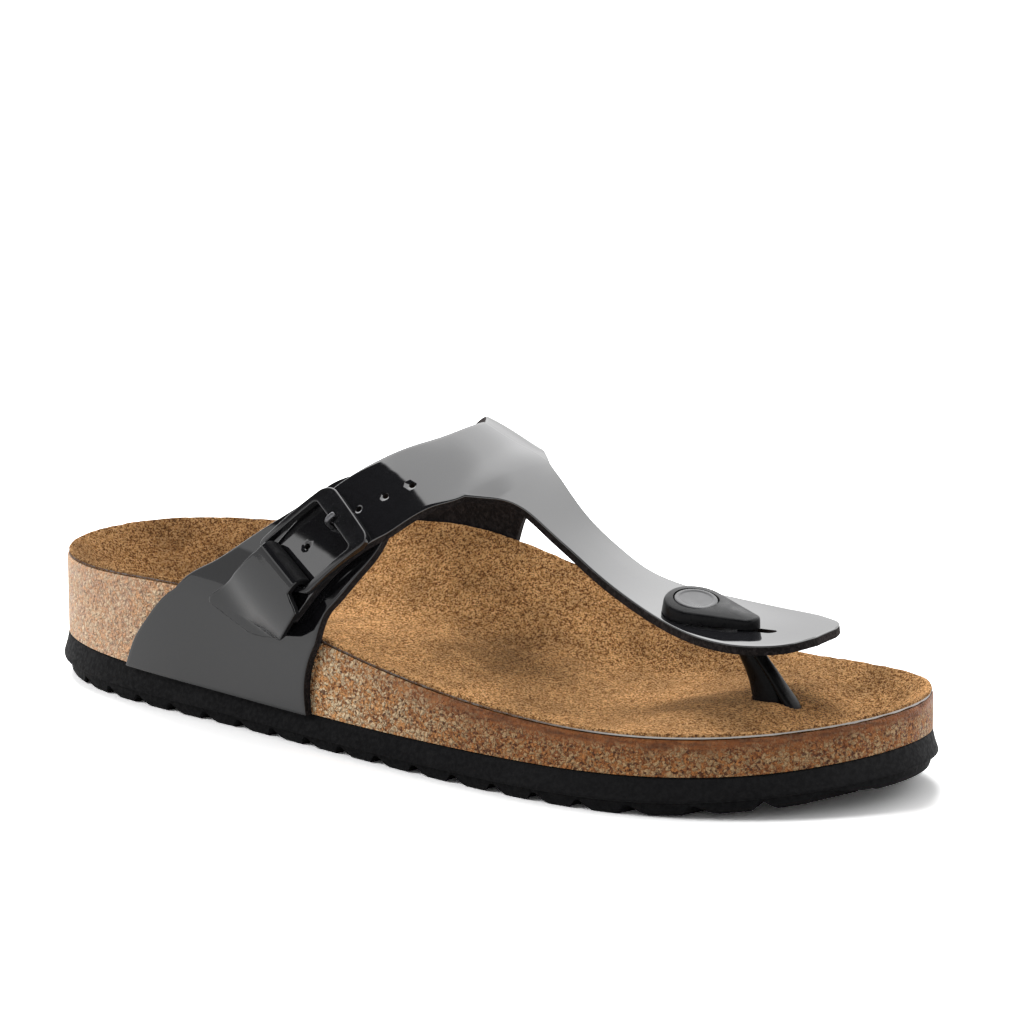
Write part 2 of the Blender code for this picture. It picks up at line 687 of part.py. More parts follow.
def build_buckle_strap(parts):
    """The tab that is sewn to the quarter and hooks over the buckle's back bar."""
    rows = np.array(TAB_ROWS)
    knots = np.concatenate([[0.0], np.cumsum(np.linalg.norm(np.diff(rows, axis=0), axis=1))])
    at = np.linspace(0.0, knots[-1], TAB_STEPS + 1)
    profile = smooth_through(knots, rows, at)
    places = []
    for distance, lift in profile:
        short = np.clip((TAB_ROUND - distance) / TAB_ROUND, 0.0, TAB_TAIL)
        inset = TAB_ROUND * (1.0 - math.sqrt(1.0 - short**2)) / BUCKLE_WIDTH
        fold = np.clip((distance - FOLD_START) / (FOLD_END - FOLD_START), 0.0, 1.0)
        back = inset + fold * ((BUCKLE_WIDTH - FOLD_WIDTH) / 2.0 + FOLD_SHIFT) / BUCKLE_WIDTH
        front = inset + fold * ((BUCKLE_WIDTH - FOLD_WIDTH) / 2.0 - FOLD_SHIFT) / BUCKLE_WIDTH
        for part in np.linspace(back, 1.0 - front, TAB_ACROSS + 1):
            places.append((distance / TAB_LENGTH, part, lift))
    points = over_patch(TAB_CORNERS, *np.array(places).T)
    tab = mesh_object("buckle_strap", points, sheet_faces(len(profile), TAB_ACROSS + 1), parts)
    face_out(tab)
    thicken(tab, TAB_THICK)
    return tab


def round_box_loop(back, front, side, radius):
    """Points round a box with round corners, with points along its sides so that it can bend."""
    corners = ((front, side, 0.0), (back, side, 0.5), (back, -side, 1.0), (front, -side, 1.5))
    loop = []
    for k, (s, w, start) in enumerate(corners):
        centre = np.array([s - math.copysign(radius, s), w - math.copysign(radius, w)])
        for turn in np.linspace(start, start + 0.5, CORNER_STEPS + 1) * math.pi:
            loop.append(centre + radius * np.array([math.cos(turn), math.sin(turn)]))
        s_next, w_next, start_next = corners[(k + 1) % 4]
        centre = np.array([s_next - math.copysign(radius, s_next), w_next - math.copysign(radius, w_next)])
        turn = start_next * math.pi
        end = centre + radius * np.array([math.cos(turn), math.sin(turn)])
        for part in np.linspace(0.0, 1.0, BAR_STEPS + 1)[1:-1]:
            loop.append(loop[k * (CORNER_STEPS + BAR_STEPS) + CORNER_STEPS] * (1.0 - part) + end * part)
    return np.array(loop)


def over_buckle(loop, lift):
    """Points over the buckle's patch from distances along and across its middle."""
    return over_patch(BUCKLE_CORNERS, loop[:, 0] / BUCKLE_LENGTH + 0.5, loop[:, 1] / BUCKLE_WIDTH + 0.5, lift)


def build_buckle_frame(parts):
    """The bent frame with one broad bar at its front."""
    half, side = BUCKLE_LENGTH / 2.0, BUCKLE_WIDTH / 2.0
    low, high = BUCKLE_LIFT, BUCKLE_LIFT + BUCKLE_THICK

    def outer(inset):
        return round_box_loop(-half + inset, half - inset, side - inset, BUCKLE_ROUND - inset)

    def inner(inset):
        return round_box_loop(-half + BAR_BACK - inset, half - BAR_FRONT + inset, side - BAR_SIDE + inset,
                              WINDOW_ROUND + inset)

    edge = BUCKLE_EDGE
    rings = [over_buckle(outer(edge), low), over_buckle(outer(0.0), low + edge),
             over_buckle(outer(0.0), high - edge), over_buckle(outer(edge), high),
             over_buckle(inner(edge), high), over_buckle(inner(0.0), high - edge),
             over_buckle(inner(0.0), low + edge), over_buckle(inner(edge), low)]
    size, count = len(rings[0]), len(rings)
    faces = []
    for r in range(count):
        for i in range(size):
            j, n = (i + 1) % size, (r + 1) % count
            faces.append((r * size + i, r * size + j, n * size + j, n * size + i))
    return mesh_object("buckle_frame", np.vstack(rings), faces, parts)


def build_buckle_pin(parts):
    """The short pin that sits on the front bar and dips into a hole of the arm."""
    edge = BUCKLE_LENGTH / 2.0 - BAR_FRONT
    top = BUCKLE_LIFT + BUCKLE_THICK + GAP + PIN_RADIUS
    hole = np.array(HOLE_ROWS[HOLE_PIN][1:])
    corner = np.array(BUCKLE_CORNERS)
    middle = corner.mean(axis=0)
    across = (corner[2] + corner[3] - corner[0] - corner[1]) / 2.0 / BUCKLE_WIDTH
    run = (corner[1] + corner[3] - corner[0] - corner[2]) / 2.0 / BUCKLE_LENGTH
    s, w = np.linalg.solve(np.column_stack([run, across]), hole - middle)
    route = [(edge + past, top - depth) for past, depth in PIN_BAR_ROWS]
    route += [(s + past, top - depth) for past, depth in PIN_HOLE_ROWS]
    route = np.array(route)
    points = over_buckle(np.column_stack([route[:, 0], np.full(len(route), w)]), route[:, 1]) * MM
    curve = bpy.data.curves.new("buckle_pin", "CURVE")
    curve.dimensions = "3D"
    curve.bevel_depth = PIN_RADIUS * MM
    curve.bevel_resolution = PIN_ROUNDNESS
    curve.use_fill_caps = True
    spline = curve.splines.new("POLY")
    spline.points.add(len(points) - 1)
    for point, place in zip(spline.points, points):
        point.co = (*place.tolist(), 1.0)
    pin = bpy.data.objects.new("buckle_pin", curve)
    parts.objects.link(pin)
    curve.materials.append(plain_material("buckle_pin"))
    return pin


def leg_rings(column):
    """Rings up one leg of the toe post."""
    base = bed_height(POST_ALONG)
    rows = np.array(POST_ROWS)
    turn = np.linspace(0.0, 2.0 * math.pi, POST_AROUND, endpoint=False)
    rings = []
    for row in rows:
        along = row[column] + np.cos(turn) * row[column + 1] / 2.0
        across = row[5] + np.sin(turn) * row[6] / 2.0
        rings.append(np.column_stack([along, across, np.full(POST_AROUND, base + row[0])]))
    return rings


def teardrop(inset):
    """Outline of the post's cap, round at its rear and narrow at its front."""
    lean = math.asin((CAP_REAR_RADIUS - CAP_FRONT_RADIUS) / (CAP_FRONT - CAP_REAR))
    start = math.pi / 2.0 - lean
    half = CAP_AROUND // 2
    rear = np.linspace(start, 2.0 * math.pi - start, half)
    front = np.linspace(-start, start, half)
    loop = [(CAP_REAR + (CAP_REAR_RADIUS - inset) * math.cos(t), (CAP_REAR_RADIUS - inset) * math.sin(t))
            for t in rear]
    loop += [(CAP_FRONT + (CAP_FRONT_RADIUS - inset) * math.cos(t), (CAP_FRONT_RADIUS - inset) * math.sin(t))
             for t in front]
    return np.array(loop) + np.array([0.0, CAP_ACROSS])


def girth_at(along, across):
    """The girth of points of the toe arm from their place across."""
    rows = np.array(LAST_ROWS)
    crest = smooth_through(rows[:, 0], rows[:, 1:], along)
    outer = np.interp(along, OUTER_SIDE[:, 0], OUTER_SIDE[:, 1]) - GAP
    inner = np.interp(along, INNER_SIDE[:, 0], INNER_SIDE[:, 1]) + GAP
    side = np.where(across < crest[:, 0], outer, inner)
    part = np.clip((across - crest[:, 0]) / (side - crest[:, 0]), 0.0, 1.0)
    turn = np.arcsin(part ** (crest[:, 2] / 2.0)) / (math.pi / 2.0)
    return np.where(across < crest[:, 0], -turn, turn)


def over_cap(loop, part):
    """Points at a part of the cap's thickness over the strap."""
    rows = np.array(CAP_THICK_ROWS)
    rise = np.interp(loop[:, 0], rows[:, 0], rows[:, 1]) + CAP_ROLL * (loop[:, 1] - CAP_ACROSS)
    return over_last(loop[:, 0], girth_at(loop[:, 0], loop[:, 1]), STRAP_THICK + GAP + rise * part)


def build_toe_post(parts, cutters):
    """The post: two legs out of the footbed, a neck through the strap and the cap folded back over it."""
    size = POST_AROUND
    faces = [(r * size + i, r * size + (i + 1) % size, (r + 1) * size + (i + 1) % size, (r + 1) * size + i)
             for r in range(len(POST_ROWS) - 1) for i in range(size)]
    last = (len(POST_ROWS) - 1) * size
    faces += [tuple(range(size))[::-1], tuple(range(last, last + size))]
    post = mesh_object("toe_post", np.vstack(leg_rings(1)), faces, parts)
    join(post, mesh_object("front_leg", np.vstack(leg_rings(3)), faces, cutters))
    neck = oval(NECK_LENGTH, NECK_WIDTH, OVAL_POINTS) + np.array([NECK_ALONG, CAP_ACROSS])
    join(post, upright_prism("neck", neck, NECK_LOW, NECK_HIGH, cutters))
    rings = [over_cap(teardrop(inset), part) for inset, part in CAP_ROWS]
    around = len(rings[0])
    faces = [(r * around + i, r * around + (i + 1) % around, (r + 1) * around + (i + 1) % around,
              (r + 1) * around + i) for r in range(len(rings) - 1) for i in range(around)]
    last = (len(rings) - 1) * around
    faces += [tuple(range(around))[::-1], tuple(range(last, last + around))]
    join(post, mesh_object("cap", np.vstack(rings), faces, cutters))
    cut(post, button_body("button_seat", BUTTON_RADIUS + GAP, BUTTON_SUNK + GAP, 2.0 * BUTTON_THICK, cutters))
    return post


def button_body(name, radius, sunk, thick, collection):
    """A disc let into the cap's top."""
    reach = BUTTON_RADIUS * np.array(((-1.0, 0.0), (1.0, 0.0), (0.0, -1.0), (0.0, 1.0)))
    back, front, outer, inner = over_cap(np.array([CAP_REAR, CAP_ACROSS]) + reach, 1.0)
    normal = np.cross(front - back, inner - outer)
    normal = normal / np.linalg.norm(normal)
    centre = (back + front + outer + inner) / 4.0 + normal * (thick / 2.0 - sunk)
    bpy.ops.mesh.primitive_cylinder_add(vertices=BUTTON_SIDES, radius=radius * MM, depth=thick * MM,
                                        location=(centre * MM).tolist())
    disc = bpy.context.object
    disc.name = name
    disc.data.name = name
    disc.rotation_mode = "QUATERNION"
    disc.rotation_quaternion = cutter_turn(normal)
    move_to(disc, collection)
    return disc


def build_post_button(parts):
    """The plain disc in the cap."""
    disc = button_body("post_button", BUTTON_RADIUS, BUTTON_SUNK, BUTTON_THICK, parts)
    disc.data.materials.append(plain_material("post_button"))
    return disc


def post_pocket(name, low, cutters):
    """The hole for the foot of the post."""
    rows = np.array(POST_ROWS[0])
    back = rows[1] - rows[2] / 2.0
    front = rows[3] + rows[4] / 2.0
    outline = oval(front - back + 2.0 * POCKET_CLEAR, rows[6] + 2.0 * POCKET_CLEAR, OVAL_POINTS)
    outline = outline + np.array([(back + front) / 2.0, rows[5]])
    return upright_prism(name, outline, low, POCKET_HIGH, cutters)


def centre_on_floor(things):
    """Stand the pieces on the floor with the origin under the middle of their box."""
    bpy.context.view_layer.update()
    graph = bpy.context.evaluated_depsgraph_get()
    points = []
    for thing in things:
        solid = thing.evaluated_get(graph)
        mesh = solid.to_mesh()
        points += [thing.matrix_world @ vertex.co for vertex in mesh.vertices]
        solid.to_mesh_clear()
    low = [min(p[k] for p in points) for k in range(3)]
    high = [max(p[k] for p in points) for k in range(3)]
    return (-(low[0] + high[0]) / 2.0, -(low[1] + high[1]) / 2.0, -low[2])


def main():
    """Build every piece."""
    clear_scene()
    parts = new_collection(COLLECTION)
    cutters = new_collection(CUTTERS)
    things = [build_outsole(parts, cutters)]
    footbed = build_footbed(parts)
    base = bed_height(POST_ALONG)
    cut(footbed, post_pocket("post_pocket", base + POST_ROWS[0][0] - GAP, cutters))
    insole = build_insole(parts)
    cut(insole, post_pocket("post_hole", 0.0, cutters))
    things += [footbed, insole, build_instep_strap(parts, cutters), build_side_strap(parts)]
    things += [build_buckle_strap(parts), build_buckle_frame(parts), build_buckle_pin(parts)]
    things += [build_toe_post(parts, cutters), build_post_button(parts)]
    origin = bpy.data.objects.new("sandal_origin", None)
    parts.objects.link(origin)
    origin.location = centre_on_floor(things)
    for thing in things + list(cutters.objects):
        thing.parent = origin


main()
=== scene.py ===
"""Finished pieces of a toe post sandal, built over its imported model.

The tables are in millimetres in the maker's frame: along runs from the back of the heel to the toe, across
runs from the outer side of the foot (minus) to the inner side (plus), height runs up from the floor.
Girth is a place round the foot at one station: 0 on the crest, -1 and 1 on the outer and inner rim of the
footbed, -2 and 2 where the footbed's wall meets the outsole.
"""
import math
import random

import bmesh
import bpy
import numpy as np
from bpy.props import FloatProperty, FloatVectorProperty, PointerProperty
from mathutils import Matrix, Vector


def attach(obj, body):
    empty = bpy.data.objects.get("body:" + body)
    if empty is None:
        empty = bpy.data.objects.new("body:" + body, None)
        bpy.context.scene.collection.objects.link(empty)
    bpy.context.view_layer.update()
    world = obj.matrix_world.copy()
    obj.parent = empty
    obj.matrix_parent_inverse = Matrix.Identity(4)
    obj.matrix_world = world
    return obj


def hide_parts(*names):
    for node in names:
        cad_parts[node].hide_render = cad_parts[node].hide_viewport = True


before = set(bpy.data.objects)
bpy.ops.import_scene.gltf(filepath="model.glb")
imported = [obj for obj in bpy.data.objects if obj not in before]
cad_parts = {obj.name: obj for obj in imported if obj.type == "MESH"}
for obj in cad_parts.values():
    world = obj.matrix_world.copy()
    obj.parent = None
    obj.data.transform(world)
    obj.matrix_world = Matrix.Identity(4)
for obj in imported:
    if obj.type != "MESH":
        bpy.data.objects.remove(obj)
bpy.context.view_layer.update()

bl_info = {
    "name": "Toe Post Sandal",
    "version": (1, 0, 0),
    "blender": (4, 5, 0),
    "location": "View3D > Sidebar > Sandal",
    "description": "Builds the finished pieces of a toe post sandal over its packed model",
    "category": "Add Mesh",
}

MM = 0.001
GAP = 0.3
ORIGIN = (-131.4989, 0.5202, 0.0)
SHARP_DEGREES = 38.0
PLACE_DIGITS = 5

# Footbed and outsole
OUTLINE_POINTS, FINE_POINTS = 300, 1200
OUTLINE_EVENNESS = 0.75
FOOTBED_LENGTH = 263.0
OUTLINE_ROWS = (
    # place, along, across, rim height, outsole height, width of the bank inside the rim
    ("heel back", 0.0, 0.0, 33.0, 11.4, 22.0),
    ("heel back, outer", 8.7, -20.0, 33.0, 11.4, 22.0),
    ("heel, outer", 34.0, -33.2, 33.8, 10.9, 21.0),
    ("waist, outer", 79.0, -38.0, 34.6, 9.6, 20.0),
    ("cuboid, outer", 124.0, -42.2, 27.6, 9.0, 18.0),
    ("ball, outer", 168.0, -45.8, 22.0, 9.5, 16.0),
    ("small toes", 211.0, -42.5, 19.8, 10.0, 14.0),
    ("second toe", 245.0, -23.3, 21.0, 11.5, 13.0),
    ("toe tip", FOOTBED_LENGTH, 10.0, 23.6, 14.6, 14.0),
    ("big toe, tip", 253.7, 34.6, 23.4, 13.8, 14.0),
    ("big toe, inner", 223.0, 45.3, 21.7, 11.2, 14.0),
    ("ball, inner", 190.5, 47.6, 21.4, 9.7, 16.0),
    ("arch, front", 145.7, 41.3, 33.2, 9.8, 26.0),
    ("arch", 101.0, 35.1, 42.4, 10.2, 32.0),
    ("arch, back", 61.0, 33.7, 37.5, 10.7, 27.0),
    ("heel, inner", 30.3, 31.8, 34.8, 10.9, 22.0),
    ("heel back, inner", 8.8, 18.7, 34.2, 11.2, 22.0),
)
BED_ROWS = (
    # along, height of the cork on the foot's mid-line
    (0.0, 18.5),
    (35.0, 18.0),
    (72.0, 20.0),
    (105.0, 22.0),
    (140.0, 18.6),
    (172.0, 14.2),
    (196.0, 15.2),
    (222.0, 19.3),
    (239.0, 16.6),
    (250.0, 16.0),
    (263.0, 17.0),
)
BED_STEPS, BED_SPREAD = 34, 1.4
SPINE_HEEL, SPINE_TOE = 32.0, 230.0
BANK_FULLNESS = 0.6
RIM_EDGE = 0.6
WALL_STEPS = 14
INSOLE_INSET, INSOLE_ROUND = 0.4, 0.55
INSOLE_SPREAD, INSOLE_UNDER_STEP = 1.25, 3
INSOLE_EDGE_ROWS = (
    # how far the ring is set in, part of the insole's thickness
    (0.0, 0.35),
    (0.05, 0.7),
    (0.25, 0.92),
)
# Seed of the nap's draws, and the least upward facing of the suede that they move
NAP_SEED, NAP_FACING = 11, -0.5
# Swell of the suede round the post's front leg: height, place, reach along and across
SWELL, SWELL_PLACE, SWELL_REACH = 1.9, (231.0, 2.0), (6.5, 14.0)
SOLE_SIDE_ROWS = (
    # part of the side's height, how far the side stands out
    (0.0, -1.5),
    (0.04, -1.0),
    (0.10, -0.6),
    (0.22, -0.35),
    (0.35, -0.2),
    (0.37, 0.5),
    (0.40, 1.25),
    (0.43, 1.4),
    (0.48, 1.4),
    (0.72, 0.6),
    (0.94, 0.1),
    (1.0, -0.3),
)
SOLE_FLOOR_PARTS = (0.25, 0.5, 0.75, 1.0)
TOE_SPRING_START, TOE_SPRING = 206.0, 5.2
HEEL_ROLL_START, HEEL_ROLL = 14.0, 1.8
GROOVE_FIRST, GROOVE_PITCH, GROOVE_COUNT = 9.0, 13.0, 20
GROOVE_SECTION = (
    # along from the groove's middle, height over the sole's underside
    (-4.3, -2.2),
    (7.4, -2.2),
    (0.6, 2.5),
    (-0.7, 2.5),
)
GROOVE_WAVE, GROOVE_WAVE_LENGTH = 2.2, 28.0
GROOVE_REACH, GROOVE_STEPS = 56.0, 8

# Form of the foot that the straps follow
LAST_ROWS = (
    # along, crest across, crest height, fullness of the section
    (30.0, 3.0, 84.0, 1.7),
    (70.0, 4.0, 84.0, 1.7),
    (105.0, 5.5, 83.0, 1.7),
    (131.0, 7.0, 78.2, 1.7),
    (142.0, 7.6, 73.4, 1.7),
    (152.0, 8.0, 68.9, 1.7),
    (157.5, 7.8, 63.0, 1.7),
    (163.0, 7.5, 56.0, 1.75),
    (174.0, 7.5, 46.8, 1.9),
    (188.0, 10.0, 40.3, 2.3),
    (203.0, 12.5, 37.0, 2.9),
    (216.0, 13.0, 36.2, 3.1),
    (229.0, 13.0, 36.8, 3.1),
    (242.0, 13.0, 38.4, 3.1),
)

# Straps
ARM_ROWS = (
    # place, back along, back girth, front along, front girth, lift
    ("free end", 96.5, -0.846, 112.0, -0.936, 2.7),
    ("under the tab", 99.0, -0.79, 114.8, -0.88, 2.7),
    ("buckle, back", 105.0, -0.66, 121.5, -0.75, 2.7),
    ("buckle, front", 114.0, -0.50, 130.4, -0.615, 2.7),
    ("clear of the buckle", 120.6, -0.388, 134.6, -0.548, 2.3),
    ("shoulder", 125.3, -0.29, 139.8, -0.432, 1.2),
    ("bend", 128.7, -0.205, 145.3, -0.343, 0.4),
    ("bend, front", 130.7, -0.11, 149.6, -0.17, 0.3),
    ("ridge", 131.6, -0.01, 151.8, 0.02, 0.3),
)
ARM_ROOT_ROW = 6
LEG_ROWS = (
    # place, back along, back girth, front along, front girth, lift
    ("under the ridge", 130.8, 0.05, 150.6, 0.07, -0.8),
    ("inner shoulder", 124.5, 0.23, 142.0, 0.25, 0.0),
    ("inner side", 109.0, 0.50, 133.5, 0.52, 0.0),
    ("above the rim", 88.5, 0.76, 124.0, 0.78, 0.0),
    ("rim", 72.0, 1.0, 118.5, 1.0, 0.0),
    ("wall", 63.0, 1.45, 115.0, 1.45, 0.0),
    ("foot of the wall", 59.0, 2.0, 113.0, 2.0, 0.0),
)
TOE_ARM_ROWS = (
    # place, outer along, outer across, inner along, inner across
    ("root", 150.4, -13.0, 153.2, 8.5),
    ("root, front", 155.2, -8.4, 156.6, 9.0),
    ("fall", 160.3, -5.2, 160.6, 10.3),
    ("narrow, back", 166.5, -2.4, 166.5, 13.2),
    ("narrow", 172.5, -1.6, 172.0, 14.8),
    ("narrow, front", 179.5, -1.6, 178.0, 15.8),
    ("flare", 187.5, -2.3, 184.0, 18.4),
    ("wide, back", 196.0, -4.0, 190.5, 22.4),
    ("wide", 205.5, -6.5, 199.5, 27.6),
    ("lip", 215.0, -8.7, 210.5, 30.4),
    ("lip, front", 225.0, -9.6, 220.5, 30.2),
    ("lip, corner", 233.5, -8.3, 228.5, 26.2),
    ("tip, corner", 239.0, -4.8, 235.8, 20.4),
    ("tip", 241.6, 2.6, 240.2, 12.6),
)
# Rows of the toe arm over which the bow and the lift of its root fade out
ROOT_BLEND_START, ROOT_BLEND_ROWS = 0.34, 2.67
ARM_STEPS, LEG_STEPS, TOE_STEPS, BAND_ACROSS = 14, 14, 7, 20
SIDE_ROWS = (
    # place, back along, back girth, front along, front girth
    ("foot of the wall", 46.5, -2.0, 114.4, -2.0),
    ("lower wall", 50.0, -1.67, 113.9, -1.70),
    ("wall", 54.8, -1.41, 114.9, -1.38),
    ("rim", 61.0, -1.14, 117.4, -1.07),
    ("above the rim", 69.0, -0.945, 120.0, -0.89),
    ("under the tab", 79.0, -0.85, 123.2, -0.82),
    ("under the buckle", 89.5, -0.741, 127.0, -0.74),
    ("buckle, front", 99.5, -0.630, 130.3, -0.66),
    ("end, back", 105.5, -0.556, 131.6, -0.60),
    ("end", 109.5, -0.497, 131.0, -0.545),
    ("end, rounded", 113.5, -0.458, 127.0, -0.488),
)
SIDE_STEPS, SIDE_ACROSS = 7, 44
HOLE_ROWS = (
    # place, along, girth
    ("in the window", 112.0, -0.700),
    ("on the pin", 117.9, -0.622),
    ("third", 122.9, -0.548),
    ("fourth", 127.9, -0.480),
    ("fifth", 132.1, -0.410),
)
HOLE_WIDTH, HOLE_SIDES, HOLE_PIN, HOLE_DEPTH = 1.7, 28, 1, 4.0
PRESS_WIDTH, PRESS_DEPTH = 2.8, 0.22
EDGE_STEPS = 3

# Buckle and its tab
BUCKLE_CORNERS = ((97.3, -0.753), (113.3, -0.516), (117.0, -0.841), (131.8, -0.614))
BUCKLE_LENGTH, BUCKLE_WIDTH, BUCKLE_LIFT = 25.4, 22.2, 5.5
BAR_FRONT, BAR_BACK, BAR_SIDE = 5.6, 2.2, 1.9
BUCKLE_ROUND, WINDOW_ROUND = 3.6, 1.2
CORNER_STEPS, BAR_STEPS = 10, 14
PIN_ROWS = (
    # place, distance past the broad bar's edge, distance past the hole's middle, depth below the pin's top
    ("tail", 1.7, None, 0.0),
    ("bar's edge", 0.5, None, 0.0),
    ("over the hole", None, 0.5, 0.5),
    ("in the hole", None, 0.0, 2.0),
    ("tip", None, 0.0, 4.6),
)
PIN_SIDES, PIN_STEPS = 16, 6
# Blunt ends of the pin, in parts of its radius
PIN_END_REACH, PIN_END_WIDTH = 0.4, 0.7
TAB_CORNERS = ((78.3, -0.996), (99.75, -0.762), (97.9, -1.216), (118.45, -0.865))
TAB_LENGTH, TAB_ROUND, TAB_TAIL = 23.3, 4.5, 0.985
# Fold over the buckle's bar: where it narrows, its width and shift across, where its lining starts
FOLD_START, FOLD_END, FOLD_WIDTH, FOLD_SHIFT, FOLD_BACK = 22.3, 23.3, 16.4, -2.6, 25.5
TAB_ROWS = (
    # distance from the tail, height of the underside over the foot
    (0.0, 2.7),
    (4.0, 2.72),
    (8.0, 2.95),
    (11.0, 3.85),
    (14.5, 5.5),
    (18.0, 6.85),
    (22.5, 8.2),
    (24.0, 8.64),
    (25.0, 8.92),
    (25.6, 8.9),
    (25.9, 8.4),
    (26.0, 7.5),
    (26.0, 5.8),
)
TAB_STEPS, TAB_ACROSS = 66, 30

# Toe post with its folded cap and button
POST_ALONG, CAP_ACROSS = 222.0, 5.2
SLOT_LENGTH, SLOT_WIDTH, SLOT_CENTRE = 13.0, 3.6, 220.4
SLOT_LOW, SLOT_HIGH = 30.0, 46.0
POCKET_CLEAR, POCKET_HIGH, HOLE_CLEAR = 0.6, 28.0, 0.1
POST_ROWS = (
    # height above the footbed's cork, rear leg along and long, front leg along and long, across, thick
    (-4.0, 224.6, 9.0, 231.8, 4.2, 5.4, 5.0),
    (1.6, 224.6, 9.0, 231.8, 4.2, 5.4, 5.0),
    (5.2, 223.6, 8.6, 229.0, 3.6, 5.4, 4.6),
    (9.4, 221.6, 8.0, 225.4, 3.3, 5.3, 4.2),
    (13.0, 219.4, 7.6, 222.2, 3.2, 5.2, 3.8),
    (15.8, 218.2, 7.4, 220.2, 3.2, 5.2, 3.4),
)
POST_AROUND, POST_STEPS, OVAL_POINTS = 40, 5, 40
NECK_LENGTH, NECK_WIDTH, NECK_ALONG = 5.6, 2.8, 218.2
NECK_LOW, NECK_HIGH = 33.0, 40.4
CAP_REAR, CAP_REAR_RADIUS = 201.4, 8.4
CAP_FRONT, CAP_FRONT_RADIUS = 218.5, 3.1
CAP_THICK_ROWS = (
    # along, thickness
    (193.0, 4.4),
    (209.8, 3.3),
    (218.5, 2.8),
)
CAP_ROLL = 0.11
CAP_ROWS = (
    # how far the ring is set in, part of the cap's thickness
    (0.0, 0.0),
    (0.0, 0.4),
    (0.0, 0.72),
    (0.1, 0.84),
    (0.32, 0.92),
    (0.55, 0.97),
    (0.8, 1.0),
)
CAP_AROUND = 96
BUTTON_SUNK, SEAT_HEIGHT = 1.0, 3.0
BUTTON_ROWS = (
    # part of the button's radius, height over its underside
    (1.0, 0.0),
    (1.0, 0.95),
    (0.985, 1.15),
    (0.95, 1.28),
    (0.90, 1.3),
    (0.82, 1.3),
    (0.79, 1.22),
    (0.76, 1.12),
    (0.70, 1.1),
    (0.35, 1.1),
    (0.0, 1.1),
)
BUTTON_SIDES = 64

# Finishes: depths are in millimetres, places along the object in metres from its origin
NOISE_SHIFT = (0.371, 0.453, 0.219)
# The mix node's sockets for its factor, its two colours and its result
MIX_INPUTS, MIX_OUTPUT = (0, 6, 7), 2
# Usual ranges of the grain's coarse value and its height
COARSE_RANGE, HEIGHT_RANGE = (0.3, 0.7), (0.35, 0.65)
PATENT_ROUGH = (0.035, 0.07)
PATENT_ROWS = {
    # piece: depth of the slow waves, depth of the fine crumpling, refraction of the film
    "strap": (0.05, 0.002, 1.72),
    "quarter": (0.03, 0.001, 1.50),
    "tab": (0.06, 0.010, 1.46),
}
SATIN_ROWS = {
    # finish: colour, colour of its grain, least and most roughness, metal, depth of the grain, gloss
    "painted_metal": ("metal", "metal_haze", 0.12, 0.18, 0.0, 0.004, 0.5),
    "pin_steel": ("steel", "steel_dark", 0.25, 0.4, 1.0, 0.01, 0.5),
    "moulded_rubber": ("rubber", "rubber_dust", 0.25, 0.38, 0.0, 0.02, 0.08),
    "tab_lining": ("rubber", "rubber_dust", 0.6, 0.8, 0.0, 0.02, 0.08),
    "button_rubber": ("button", "button", 0.26, 0.36, 0.0, 0.01, 0.3),
}
FELT_RANGE, FELT_DEPTH = (0.1, 0.6), 0.5
FOAM_ROUGH, FOAM_DEPTH = (0.62, 0.85), 0.18
# Cork: chances are ranges of a random value, insides are distances from a granule's edge in granules
SMALL_GRANULES = 2.3
GRANULE_STOPS = ((0.44, "cork_brown"), (0.55, "cork_tan"))
PALE_GRAIN, PALE_CHANCE, PALE_INSIDE = 0.35, (0.62, 0.76), (0.02, 0.14)
CRUMB_CHANCE, CRUMB_INSIDE, CRUMB_CAST = (0.62, 0.74), (0.03, 0.18), 0.85
BARK_CHANCE, BARK_CAST = (0.10, 0.20), 0.9
# Painted shade in the crevices between granules: its reach in from a granule's edge, and its darkest factor
CREVICE_INSIDE, CREVICE_SHADE = 0.12, 0.6
# Painted light making the heel's cork paler and rosier: where it fades along, and its strength
HEEL_CORK_PAINTED_LIGHT, HEEL_CORK_LIGHT_STRENGTH = (-0.09, -0.05), 0.35
# Where the forefoot starts: it carries the streaked band, and a painted shade darkens its cork
FRONT_CORK = (-0.02, 0.05)
STREAK_STRETCH, STREAK_SCALE = (60.0, 60.0, 420.0), 3.0
STREAK_STOPS = ((0.35, "cork_dark"), (0.7, "cork_brown"))
BAND_RAGGED, BAND_CLIMB, BAND_CAST, BAND_SMOOTH = 0.7, (0.85, 1.35), (0.1, 0.9), 0.3
CORK_ROUGH = (0.34, 0.58)
PEBBLE_INSIDE, PEBBLE_GRAIN, PEBBLE_DEPTH, CRUMB_DEPTH = 0.4, 0.8, 0.6, 0.14
# Suede and the fabric under it
NAP_SHARE, FLECK_SHARE = 0.7, 0.3
SUEDE_STOPS = ((0.40, "suede_dark"), (0.48, "suede"), (0.53, "suede"), (0.60, "suede_light"))
PATCH_RANGE, PATCH_CAST = (0.34, 0.66), (0.76, 1.22)
# Painted shade darkening the suede toward the heel: where it fades along, and its darkest factor
HEEL_SUEDE, HEEL_SHADE = (-0.09, -0.02), 0.80
NAP_DEPTH, FLECK_DEPTH = 1.0, 0.2
BARE_BACKING = (0.05, 0.09)

# Camera, light and floor
CAMERA_PLACE = (939.2007, -990.8136, 344.4251)
CAMERA_RIGHT = (0.78167, 0.62368, -0.00383)
CAMERA_UP = (-0.13371, 0.17357, 0.97570)
CAMERA_BACK = (0.60919, -0.76216, 0.21907)
CAMERA_LENS, CAMERA_SENSOR = 178.09, 36.0
FLOOR_SIZE = 6.0
SUN_ROWS = (
    # light, where it comes from, spread in degrees, strength
    ("back_light", (-0.50, 0.44, 0.74), 32.0, 3.1),
    ("front_light", (-0.50, -0.60, 0.62), 20.0, 1.7),
)
